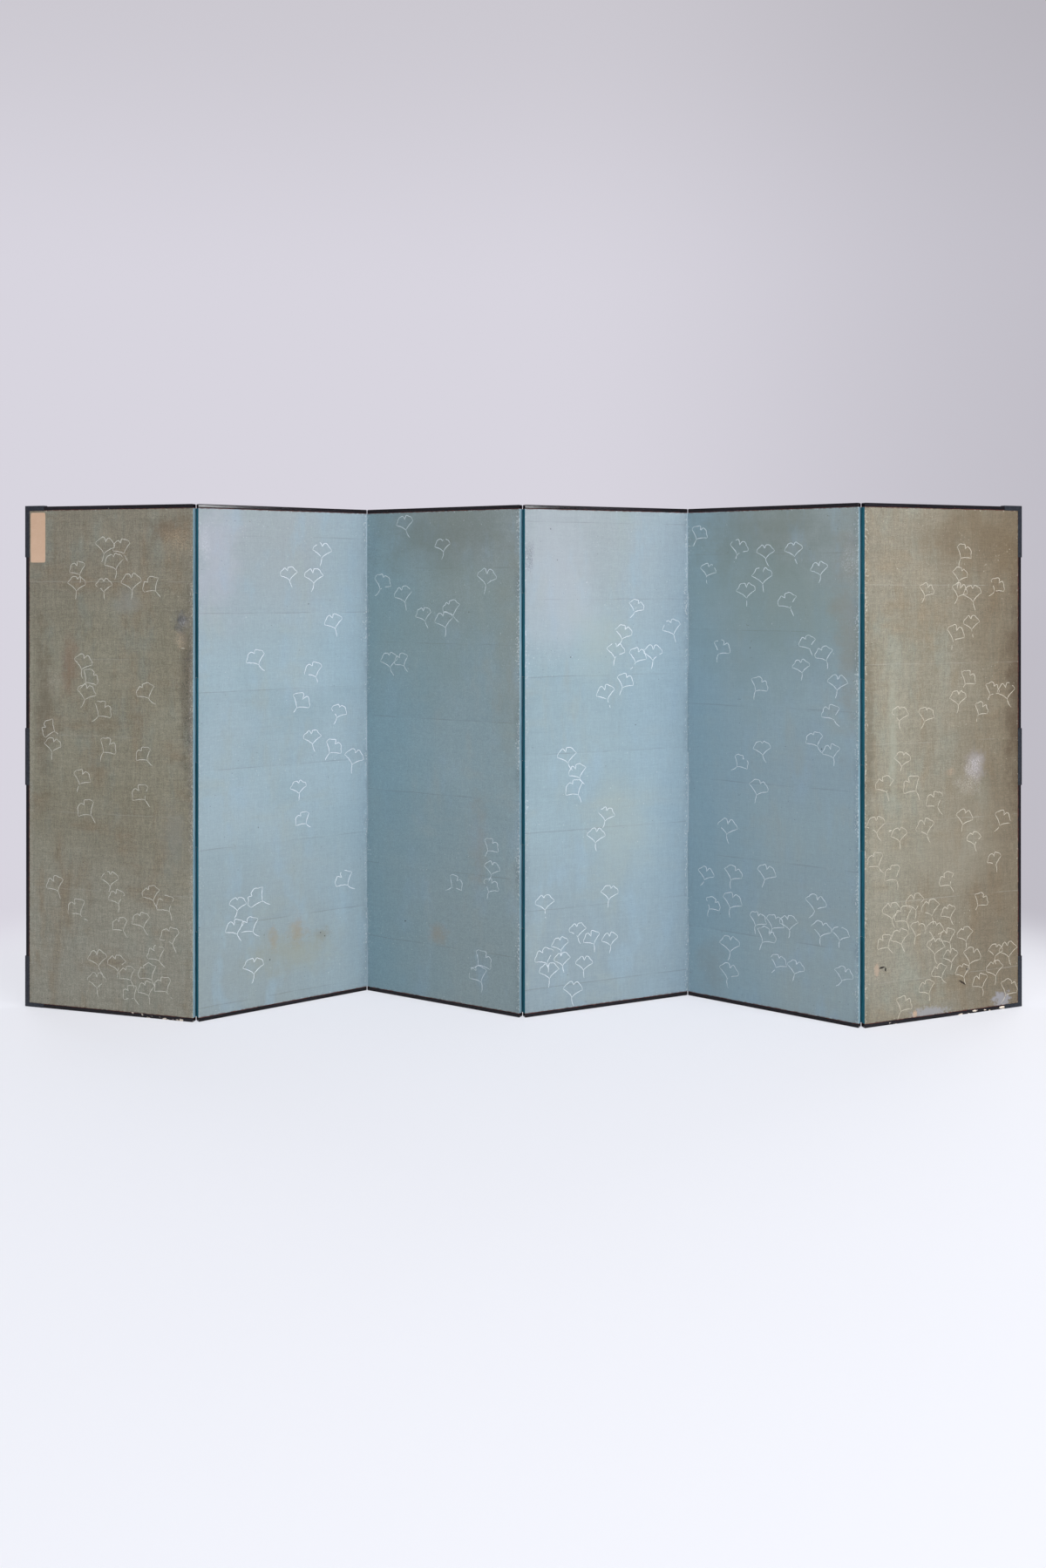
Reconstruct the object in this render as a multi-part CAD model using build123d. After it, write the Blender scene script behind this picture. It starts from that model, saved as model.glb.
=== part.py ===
from build123d import *
import os

# Six-panel byobu, a folding screen of paper-covered lattice panels joined by paper hinges.
# Millimetres. +X to the right along the screen, +Y to its back, +Z up.
# The screen stands on Z = 0, with X = Y = 0 at the centre of its box in plan.

# ---------------------------------------------------------------- driving dimensions
SCREEN_HEIGHT = 1720.0
PANEL_WIDTH = 628.0  # each panel's covered width, less the rail on an outer panel
PANEL_DEPTH = 18.0  # face of the painting to face of the backing paper

RAIL_WIDTH = 14.0  # lacquered rail, as seen from the front
RAIL_BULGE = 0.8  # how far its rounded face stands proud of the paper
RAIL_END_RADIUS = 3.0

PAINTING_THICKNESS = 0.4
BACKING_THICKNESS = 0.4
UNDERLAY_THICKNESS = 1.0  # layers of lining paper on each face of the lattice
UNDERLAY_EDGE = 1.6  # the same layers turned over the long edges

STILE_WIDTH = 30.0
CROSS_RAIL_WIDTH = 32.0
TENON_THICKNESS = 5.0
SLAT_WIDTH = 15.0
UPRIGHT_SLATS = 3
LEVEL_SLATS = 6
SLAT_SEAT = 6.0  # depth of the seat that takes a slat's end

PIN_WIDTH = 3.0  # square bamboo pins that hold a top or bottom rail
PIN_IN_CORE = 20.0
PIN_IN_RAIL = 9.0
PINS_PER_RAIL = 2

HINGE_PAPER = 0.6
HINGE_FLAP = 28.0  # pasted width of a hinge strip on a panel's face
HINGE_STRIPS = 6  # strips up each fold, turned alternately
STRIP_GAP = 0.3
CREASE_LAP = 1.0  # how far a strip's creased edge laps back over its own edge

FITTING_FACE = 1.0  # iron plate on the rail's front and back
FITTING_EDGE = 3.0  # and round its outer edge
FITTING_BEVEL = 0.6
CORNER_FITTING_POST = 174.0  # reach up or down the side rail
CORNER_FITTING_ARM = 72.0  # reach along the top or bottom rail
SIDE_FITTING_LENGTH = 196.0

NAIL_WIDTH = 9.0  # eight-sided forged head, across its corners
NAIL_SHOULDER_WIDTH = 6.4
NAIL_CROWN_WIDTH = 2.6
NAIL_SHOULDER = 1.5  # height of the shoulder above the rail
NAIL_CROWN = 2.5
NAIL_SIDES = 8
NAIL_SHANK_WIDTH = 2.4  # forged square
NAIL_SHANK_LENGTH = 22.0
NAIL_CLEARANCE = 0.05
NAILS_EACH_WAY = 3  # evenly between the side fitting and each corner fitting

SLIP_WIDTH = 58.0
SLIP_LENGTH = 171.0
SLIP_THICKNESS = 0.3
SLIP_CORNER = 5.0
SLIP_FROM_SIDE = 5.0  # clear of the side rail
SLIP_FROM_TOP = 7.0  # clear of the top rail

EDGE_GAP = 0.7  # between two panels' edges when the screen is opened flat
CLOSED_GAP = 0.4  # between fitting and rail when two panels are folded shut

HEADINGS = (-15.7, 34.5, -29.6, 23.7, -34.9, 21.4)  # degrees from +X, panel 1 first
FOLDS_FORWARD = (True, False, True, False, True)  # a forward fold closes back to back

# ---------------------------------------------------------------- derived sizes
PANELS = len(HEADINGS)
HALF_DEPTH = PANEL_DEPTH / 2
BODY_BOTTOM = RAIL_WIDTH
BODY_TOP = SCREEN_HEIGHT - RAIL_WIDTH
BODY_HEIGHT = BODY_TOP - BODY_BOTTOM
MID_HEIGHT = SCREEN_HEIGHT / 2
UNDERLAY_FRONT = PAINTING_THICKNESS - HALF_DEPTH
UNDERLAY_BACK = HALF_DEPTH - BACKING_THICKNESS
CORE_FRONT = UNDERLAY_FRONT + UNDERLAY_THICKNESS
CORE_BACK = UNDERLAY_BACK - UNDERLAY_THICKNESS
# A fold turns about a line just off the two panels' corners, so that the rails clear.
PIVOT_ALONG = EDGE_GAP / 2
PIVOT_OFF = (2 * RAIL_BULGE + FITTING_FACE + CLOSED_GAP) / 2
BEYOND = 2 * FITTING_EDGE + RAIL_WIDTH  # reaches past any face, for cutting shapes


# ---------------------------------------------------------------- helpers
def block(x0, x1, y0, y1, z0, z1):
    """A box given by its two limits along each axis."""
    size = Box(x1 - x0, y1 - y0, z1 - z0, align=(Align.MIN, Align.MIN, Align.MIN))
    return Pos(x0, y0, z0) * size


def spread(first, last, count):
    """Places of count pieces that divide first..last evenly."""
    step = (last - first) / (count + 1)
    return [first + step * (i + 1) for i in range(count)]


def slab(points):
    """A prism through the panel's whole depth over an outline in X and Z."""
    outline = Plane.XZ * make_face(Polyline(*points, close=True))
    return extrude(outline, HALF_DEPTH + BEYOND, both=True)


def mirrored(shape, width):
    """A left-hand panel's shape turned into a right-hand panel's."""
    return Pos(width, 0, 0) * mirror(shape, about=Plane.YZ)


class Panel:
    """Where one panel starts and ends, and what is on its two long edges."""

    def __init__(self, index):
        self.index = index
        self.name = f"panel_{index + 1}"
        self.rail_left = index == 0
        self.rail_right = index == PANELS - 1
        self.rails = self.rail_left + self.rail_right
        self.width = PANEL_WIDTH + RAIL_WIDTH * self.rails
        self.left = RAIL_WIDTH if self.rail_left else 0.0
        self.right = self.width - RAIL_WIDTH if self.rail_right else self.width
        self.core_left = self.left + UNDERLAY_EDGE
        self.core_right = self.right - UNDERLAY_EDGE


# ---------------------------------------------------------------- lattice core
def slat_places(panel):
    """X of the upright slats and Z of the level ones."""
    uprights = spread(panel.core_left + STILE_WIDTH, panel.core_right - STILE_WIDTH, UPRIGHT_SLATS)
    levels = spread(BODY_BOTTOM + CROSS_RAIL_WIDTH, BODY_TOP - CROSS_RAIL_WIDTH, LEVEL_SLATS)
    return uprights, levels


def level_slat(panel, z):
    """A level slat, notched at the back where each upright crosses it."""
    half = SLAT_WIDTH / 2
    start = panel.core_left + STILE_WIDTH - SLAT_SEAT
    end = panel.core_right - STILE_WIDTH + SLAT_SEAT
    slat = block(start, end, CORE_FRONT, CORE_BACK, z - half, z + half)
    uprights, _ = slat_places(panel)
    return slat - [block(x - half, x + half, 0, CORE_BACK, z - half, z + half) for x in uprights]


def upright_slat(panel, x):
    """An upright slat, notched at the front where each level one crosses it."""
    half = SLAT_WIDTH / 2
    start = BODY_BOTTOM + CROSS_RAIL_WIDTH - SLAT_SEAT
    end = BODY_TOP - CROSS_RAIL_WIDTH + SLAT_SEAT
    slat = block(x - half, x + half, CORE_FRONT, CORE_BACK, start, end)
    _, levels = slat_places(panel)
    return slat - [block(x - half, x + half, CORE_FRONT, 0, z - half, z + half) for z in levels]


def stile(panel, left_hand):
    """A long edge of the core, slotted at its ends and seated for the level slats."""
    half = SLAT_WIDTH / 2
    x0 = panel.core_left if left_hand else panel.core_right - STILE_WIDTH
    x1 = x0 + STILE_WIDTH
    seat = (x1 - SLAT_SEAT, x1) if left_hand else (x0, x0 + SLAT_SEAT)
    _, levels = slat_places(panel)
    cuts = [block(*seat, CORE_FRONT, CORE_BACK, z - half, z + half) for z in levels]
    for z0, z1 in ((BODY_BOTTOM, BODY_BOTTOM + CROSS_RAIL_WIDTH), (BODY_TOP - CROSS_RAIL_WIDTH, BODY_TOP)):
        cuts.append(block(x0, x1, -TENON_THICKNESS / 2, TENON_THICKNESS / 2, z0, z1))
    return block(x0, x1, CORE_FRONT, CORE_BACK, BODY_BOTTOM, BODY_TOP) - cuts


def rail_pins(panel, at_top):
    """Bamboo pins from a short edge of the core into the rail that covers it."""
    half = PIN_WIDTH / 2
    if at_top:
        z0, z1 = BODY_TOP - PIN_IN_CORE, BODY_TOP + PIN_IN_RAIL
    else:
        z0, z1 = BODY_BOTTOM - PIN_IN_RAIL, BODY_BOTTOM + PIN_IN_CORE
    places = spread(panel.core_left + STILE_WIDTH, panel.core_right - STILE_WIDTH, PINS_PER_RAIL)
    return [block(x - half, x + half, -half, half, z0, z1) for x in places]


def cross_rail(panel, at_top):
    """A short edge of the core, whose thin tenons run right through the stiles."""
    half = SLAT_WIDTH / 2
    z0 = BODY_TOP - CROSS_RAIL_WIDTH if at_top else BODY_BOTTOM
    z1 = z0 + CROSS_RAIL_WIDTH
    seat = (z0, z0 + SLAT_SEAT) if at_top else (z1 - SLAT_SEAT, z1)
    inner = panel.core_left + STILE_WIDTH, panel.core_right - STILE_WIDTH
    tenon = block(panel.core_left, panel.core_right, -TENON_THICKNESS / 2, TENON_THICKNESS / 2, z0, z1)
    rail = block(*inner, CORE_FRONT, CORE_BACK, z0, z1) + tenon
    uprights, _ = slat_places(panel)
    cuts = [block(x - half, x + half, CORE_FRONT, CORE_BACK, *seat) for x in uprights]
    return rail - cuts - rail_pins(panel, at_top)


def core(panel):
    """All the sticks and pins of one panel's lattice, each a separate solid."""
    uprights, levels = slat_places(panel)
    sticks = [stile(panel, True), stile(panel, False)]
    for at_top in (True, False):
        sticks.append(cross_rail(panel, at_top))
        sticks += rail_pins(panel, at_top)
    sticks += [level_slat(panel, z) for z in levels]
    sticks += [upright_slat(panel, x) for x in uprights]
    return sticks


# ---------------------------------------------------------------- papers
def strip_spans():
    """Bottom and top of each hinge strip."""
    pitch = BODY_HEIGHT / HINGE_STRIPS
    spans = []
    for k in range(HINGE_STRIPS):
        start = BODY_BOTTOM + pitch * k
        spans.append((start + STRIP_GAP / 2, start + pitch - STRIP_GAP / 2))
    return spans


def creased_strip(width, to_back):
    """Section of a strip that wraps a right-hand edge and runs out to the fold line.

    It lies on the face away from the fold and covers the edge. The outer corner of
    its creased end is the fold line, which is behind the panel if to_back is true.
    """
    edge = width - HINGE_PAPER
    crease = width + PIVOT_ALONG
    fold_line = HALF_DEPTH + PIVOT_OFF
    section = make_face(
        Polyline(
            (edge - HINGE_FLAP, UNDERLAY_FRONT),
            (width, UNDERLAY_FRONT),
            (width, UNDERLAY_BACK - CREASE_LAP),
            (crease, UNDERLAY_BACK - CREASE_LAP),
            (crease, fold_line),
            (width, fold_line),
            (width, UNDERLAY_BACK),
            (edge, UNDERLAY_BACK),
            (edge, UNDERLAY_FRONT + HINGE_PAPER),
            (edge - HINGE_FLAP, UNDERLAY_FRONT + HINGE_PAPER),
            close=True,
        )
    )
    return section if to_back else mirror(section, about=Plane.XZ)


def flat_strip(width, on_back):
    """Section of a strip that lies on the face next to the fold line."""
    flap = Pos(width - HINGE_FLAP, UNDERLAY_BACK - HINGE_PAPER) * Rectangle(
        HINGE_FLAP, HINGE_PAPER, align=(Align.MIN, Align.MIN)
    )
    return flap if on_back else mirror(flap, about=Plane.XZ)


def hinge_strips(panel, right_edge, forward):
    """The strips pasted on one long edge of a panel, each a separate solid."""
    strips = []
    for k, (z0, z1) in enumerate(strip_spans()):
        creased = (k % 2 == 0) == right_edge
        section = creased_strip(panel.width, forward) if creased else flat_strip(panel.width, forward)
        strip = Pos(0, 0, z0) * extrude(section, z1 - z0)
        strips.append(strip if right_edge else mirrored(strip, panel.width))
    return strips


def underlay(panel, cuts):
    """Lining paper wrapped round the core, let in for hinge strips and pierced by nails."""
    sleeve = block(panel.left, panel.right, UNDERLAY_FRONT, UNDERLAY_BACK, BODY_BOTTOM, BODY_TOP)
    hollow = block(panel.core_left, panel.core_right, CORE_FRONT, CORE_BACK, BODY_BOTTOM, BODY_TOP)
    return [sleeve - hollow - cuts]


def painting(panel):
    """The painted paper on the front."""
    return [block(panel.left, panel.right, -HALF_DEPTH, UNDERLAY_FRONT, BODY_BOTTOM, BODY_TOP)]


def backing(panel):
    """The plain paper on the back."""
    return [block(panel.left, panel.right, UNDERLAY_BACK, HALF_DEPTH, BODY_BOTTOM, BODY_TOP)]


def title_slip():
    """The blank slip pasted beside panel 1's top left corner."""
    x = RAIL_WIDTH + SLIP_FROM_SIDE + SLIP_WIDTH / 2
    z = BODY_TOP - SLIP_FROM_TOP - SLIP_LENGTH / 2
    pasted = Plane((x, -HALF_DEPTH, z), x_dir=(1, 0, 0), z_dir=(0, -1, 0))
    return [extrude(pasted * RectangleRounded(SLIP_WIDTH, SLIP_LENGTH, SLIP_CORNER), SLIP_THICKNESS)]


# ---------------------------------------------------------------- lacquered rails
def rail_section():
    """Rail section: U inward from the outer edge, V through the depth, faces bulged."""
    crown = HALF_DEPTH + RAIL_BULGE
    middle = RAIL_WIDTH / 2
    front = ThreePointArc((0, -HALF_DEPTH), (middle, -crown), (RAIL_WIDTH, -HALF_DEPTH))
    inner = Line((RAIL_WIDTH, -HALF_DEPTH), (RAIL_WIDTH, HALF_DEPTH))
    back = ThreePointArc((RAIL_WIDTH, HALF_DEPTH), (middle, crown), (0, HALF_DEPTH))
    outer = Line((0, HALF_DEPTH), (0, -HALF_DEPTH))
    return make_face([front, inner, back, outer])


def fitting_section():
    """Section of an iron fitting: a channel bent round three sides of a rail."""
    face = HALF_DEPTH + FITTING_FACE
    crown = face + RAIL_BULGE
    middle = RAIL_WIDTH / 2
    front = ThreePointArc((RAIL_WIDTH, -face), (middle, -crown), (0, -face))
    wrap = Polyline((0, -face), (-FITTING_EDGE, -face), (-FITTING_EDGE, face), (0, face))
    back = ThreePointArc((0, face), (middle, crown), (RAIL_WIDTH, face))
    inner = Line((RAIL_WIDTH, face), (RAIL_WIDTH, -face))
    shell = make_face([front, wrap, back, inner])
    corners = shell.vertices().filter_by(lambda v: v.X < -FITTING_EDGE / 2)
    return chamfer(corners, FITTING_BEVEL) - rail_section()


def along_z(section, z0, z1):
    """A section run up the left-hand edge, its U along +X."""
    return Pos(0, 0, z0) * extrude(section, z1 - z0)


def along_x(section, x0, x1, at_top):
    """A section run along the top, its U downward, or the bottom, its U upward."""
    z, down = (SCREEN_HEIGHT, -1) if at_top else (0.0, 1)
    start = Plane((x0, 0, z), x_dir=(0, 0, down), z_dir=(1, 0, 0))
    return extrude(start * section, x1 - x0)


def end_rail(panel, at_top):
    """The top or bottom rail, mitred to a side rail and rounded at a fold."""
    outer, inner = (SCREEN_HEIGHT, BODY_TOP) if at_top else (0.0, BODY_BOTTOM)
    bar = along_x(rail_section(), 0, panel.width, at_top)
    bar &= slab([(0, outer), (panel.width, outer), (panel.right, inner), (panel.left, inner)])
    corners = []
    for edge in bar.edges().filter_by(Axis.Y):
        middle = edge.center()
        at_left_fold = not panel.rail_left and middle.X < RAIL_END_RADIUS
        at_right_fold = not panel.rail_right and middle.X > panel.width - RAIL_END_RADIUS
        if abs(middle.Z - outer) < RAIL_END_RADIUS and (at_left_fold or at_right_fold):
            corners.append(edge)
    return [fillet(corners, RAIL_END_RADIUS) - rail_pins(panel, at_top)]


def side_rail():
    """The left-hand side rail, mitred at both ends and bored for its nails."""
    bar = along_z(rail_section(), 0, SCREEN_HEIGHT)
    bar &= slab([(0, 0), (RAIL_WIDTH, BODY_BOTTOM), (RAIL_WIDTH, BODY_TOP), (0, SCREEN_HEIGHT)])
    return [bar - nail_bores()]


# ---------------------------------------------------------------- iron fittings and nails
def corner_fitting(at_top):
    """A left-hand corner fitting: two channels mitred into an L.

    The lower one has no plate under the rail, so that the rail stands on the floor.
    """
    section = fitting_section()
    z, up = (SCREEN_HEIGHT, 1) if at_top else (0.0, -1)
    inward = RAIL_WIDTH + FITTING_EDGE
    outside = (-BEYOND, z + up * BEYOND)
    inside = (inward, z - up * inward)
    if at_top:
        post = along_z(section, z - CORNER_FITTING_POST, z + BEYOND)
    else:
        post = along_z(section, 0, CORNER_FITTING_POST)
    post &= slab([outside, inside, (inward, MID_HEIGHT), (-BEYOND, MID_HEIGHT)])
    reach = CORNER_FITTING_ARM
    arm = along_x(section, -BEYOND, reach, at_top)
    arm &= slab([outside, inside, (reach, inside[1]), (reach, outside[1])])
    fitting = post + arm
    if not at_top:
        fitting -= slab([(-BEYOND, 0), (reach, 0), (reach, -BEYOND), (-BEYOND, -BEYOND)])
    return [fitting]


def side_fitting():
    """The channel at mid-height of a side rail."""
    half = SIDE_FITTING_LENGTH / 2
    return [along_z(fitting_section(), MID_HEIGHT - half, MID_HEIGHT + half)]


def nail_heights():
    """Z of the nails up a side rail, evenly between its fittings."""
    offsets = spread(SIDE_FITTING_LENGTH / 2, MID_HEIGHT - CORNER_FITTING_POST, NAILS_EACH_WAY)
    return [MID_HEIGHT + sign * offset for sign in (-1, 1) for offset in offsets]


def shank(clearance):
    """A nail's square shank along +X from the plane X = 0, or the hole it makes."""
    side = NAIL_SHANK_WIDTH + 2 * clearance
    length = NAIL_SHANK_LENGTH + clearance
    return Box(length, side, side, align=(Align.MIN, Align.CENTER, Align.CENTER))


def nail():
    """A forged nail driven along +X, its faceted head bearing on the plane X = 0."""
    levels = ((0, NAIL_WIDTH), (NAIL_SHOULDER, NAIL_SHOULDER_WIDTH), (NAIL_CROWN, NAIL_CROWN_WIDTH))
    outlines = [
        Plane((-height, 0, 0), z_dir=(-1, 0, 0)) * RegularPolygon(width / 2, NAIL_SIDES)
        for height, width in levels
    ]
    return loft(outlines, ruled=True) + shank(0)


def side_nails():
    """The nails of the left-hand side rail."""
    return [Pos(0, 0, z) * nail() for z in nail_heights()]


def nail_bores():
    """Holes for the shanks, in whatever the left-hand side rail's nails pass through."""
    return [Pos(0, 0, z) * shank(NAIL_CLEARANCE) for z in nail_heights()]


# ---------------------------------------------------------------- panels and folds
def handed(shapes, panel):
    """Left-hand shapes as they are on the first panel, or mirrored for the last one."""
    return shapes if panel.rail_left else [mirrored(shape, panel.width) for shape in shapes]


def panel_nodes(panel):
    """Every node of one panel in the panel's own frame, by name."""
    nodes = {}
    sticks = core(panel)
    cuts = []
    if not panel.rail_left:
        strips = hinge_strips(panel, False, FOLDS_FORWARD[panel.index - 1])
        nodes[f"hinge_{panel.index}_{panel.index + 1}_right_strips"] = strips
        cuts += strips
    if not panel.rail_right:
        strips = hinge_strips(panel, True, FOLDS_FORWARD[panel.index])
        nodes[f"hinge_{panel.index + 1}_{panel.index + 2}_left_strips"] = strips
        cuts += strips
    if panel.rails:
        hand = "left" if panel.rail_left else "right"
        nodes[f"{hand}_rail"] = handed(side_rail(), panel)
        nodes[f"{hand}_rail_nails"] = handed(side_nails(), panel)
        nodes[f"{hand}_top_corner_fitting"] = handed(corner_fitting(True), panel)
        nodes[f"{hand}_bottom_corner_fitting"] = handed(corner_fitting(False), panel)
        nodes[f"{hand}_side_fitting"] = handed(side_fitting(), panel)
        bores = handed(nail_bores(), panel)
        outer_stile = 0 if panel.rail_left else 1
        sticks[outer_stile] -= bores
        cuts += bores
    if panel.rail_left:
        nodes["title_slip"] = title_slip()
    nodes[f"{panel.name}_core"] = sticks
    nodes[f"{panel.name}_underlay"] = underlay(panel, cuts)
    nodes[f"{panel.name}_painting"] = painting(panel)
    nodes[f"{panel.name}_backing"] = backing(panel)
    nodes[f"{panel.name}_top_rail"] = end_rail(panel, True)
    nodes[f"{panel.name}_bottom_rail"] = end_rail(panel, False)
    return nodes


def pivot_offset(panel, fold):
    """The fold line in the panel's own frame, for the fold on its left or right."""
    side = 1 if FOLDS_FORWARD[fold] else -1
    along = panel.width + PIVOT_ALONG if fold == panel.index else -PIVOT_ALONG
    return Vector(along, side * (HALF_DEPTH + PIVOT_OFF), 0)


def standing_places(panels):
    """Where each panel stands, chained fold by fold from panel 1, and the fold lines."""
    places = [Rot(0, 0, HEADINGS[0])]
    lines = []
    for fold in range(PANELS - 1):
        here, there = panels[fold], panels[fold + 1]
        line = (places[fold] * Pos(pivot_offset(here, fold))).position
        turn = Rot(0, 0, HEADINGS[fold + 1])
        back = (turn * Pos(pivot_offset(there, fold))).position
        places.append(Pos(line - back) * turn)
        lines.append(line)
    return places, lines


def main():
    """Build every panel, centre the screen on its box and write one file per node."""
    panels = [Panel(i) for i in range(PANELS)]
    places, lines = standing_places(panels)
    standing = {}
    for panel, place in zip(panels, places):
        for name, solids in panel_nodes(panel).items():
            standing[name] = Compound([solid for shape in solids for solid in (place * shape).solids()])
    box = Compound(list(standing.values())).bounding_box()
    middle = box.center()
    recentre = Pos(-middle.X, -middle.Y, 0)
    os.makedirs("parts", exist_ok=True)
    for name, shape in standing.items():
        export_step(recentre * shape, f"parts/{name}.step")
    print("nodes", len(standing), "size", box.size)
    for fold, line in enumerate(lines):
        print("fold", fold + 1, fold + 2, "line", line.X - middle.X, line.Y - middle.Y)


main()
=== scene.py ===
"""A six-panel folding screen: papered lattice panels, lacquered rails, iron fittings and paper hinges.

Every piece is made in its panel's own frame, in metres: U runs along the panel from the left edge of
its paper, W through its depth from the middle towards the back, and Z up from the floor.
"""

import logging
import math
import random
from collections.abc import Callable, Sequence
from dataclasses import dataclass, field, replace
from enum import Enum

import bpy
import numpy as np
from mathutils import Matrix, Vector


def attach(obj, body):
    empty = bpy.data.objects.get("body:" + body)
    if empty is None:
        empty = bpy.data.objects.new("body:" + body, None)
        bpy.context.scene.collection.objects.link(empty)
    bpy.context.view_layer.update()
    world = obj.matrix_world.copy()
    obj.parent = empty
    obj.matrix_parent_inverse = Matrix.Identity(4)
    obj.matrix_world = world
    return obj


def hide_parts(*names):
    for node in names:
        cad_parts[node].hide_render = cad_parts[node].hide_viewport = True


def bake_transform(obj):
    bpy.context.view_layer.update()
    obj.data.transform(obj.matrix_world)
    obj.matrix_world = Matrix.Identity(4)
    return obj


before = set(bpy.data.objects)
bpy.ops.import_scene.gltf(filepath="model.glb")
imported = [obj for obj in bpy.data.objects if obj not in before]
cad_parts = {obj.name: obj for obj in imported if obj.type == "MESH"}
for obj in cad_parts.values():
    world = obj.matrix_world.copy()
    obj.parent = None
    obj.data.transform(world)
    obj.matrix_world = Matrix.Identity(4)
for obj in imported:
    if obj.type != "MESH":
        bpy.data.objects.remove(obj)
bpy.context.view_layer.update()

LOG = logging.getLogger("folding_screen")

Colour = tuple[float, float, float]
Point = tuple[float, float, float]
Socket = bpy.types.NodeSocket
Finish = bpy.types.Material
Piece = bpy.types.Object
Number = float | Socket
MM = 0.001

PANELS = 6
SCREEN_HEIGHT = 1.720
HALF_DEPTH = 9.0 * MM
RAIL_WIDTH = 14.0 * MM
SHEET_BOTTOM = RAIL_WIDTH
SHEET_TOP = SCREEN_HEIGHT - RAIL_WIDTH
PAPER = 0.4 * MM
FOLD_ALONG = 0.35 * MM
FOLD_OFF = 1.5 * MM
HINGE_STRIPS = 6
FOLDS_FORWARD = (True, False, True, False, True)
NO_FOLD = 9.0
DISPLAY_WHITE = 255


def ink(red: int, green: int, blue: int) -> Colour:
    """A paint colour as the eye sees it, made linear.

    Args:
        red: Its display value, from 0 to 255.
        green: The same for green.
        blue: The same for blue.

    Returns:
        The linear colour that a shader takes.
    """

    def linear(value: int) -> float:
        """One display value, made linear."""
        v = value / DISPLAY_WHITE
        return v / 12.92 if v <= 0.04045 else ((v + 0.055) / 1.055) ** 2.4

    return linear(red), linear(green), linear(blue)


# ---------------------------------------------------------------- node recipes
MIX_SHARE, MIX_FIRST, MIX_SECOND, MIX_RESULT = 0, 6, 7, 2


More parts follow.
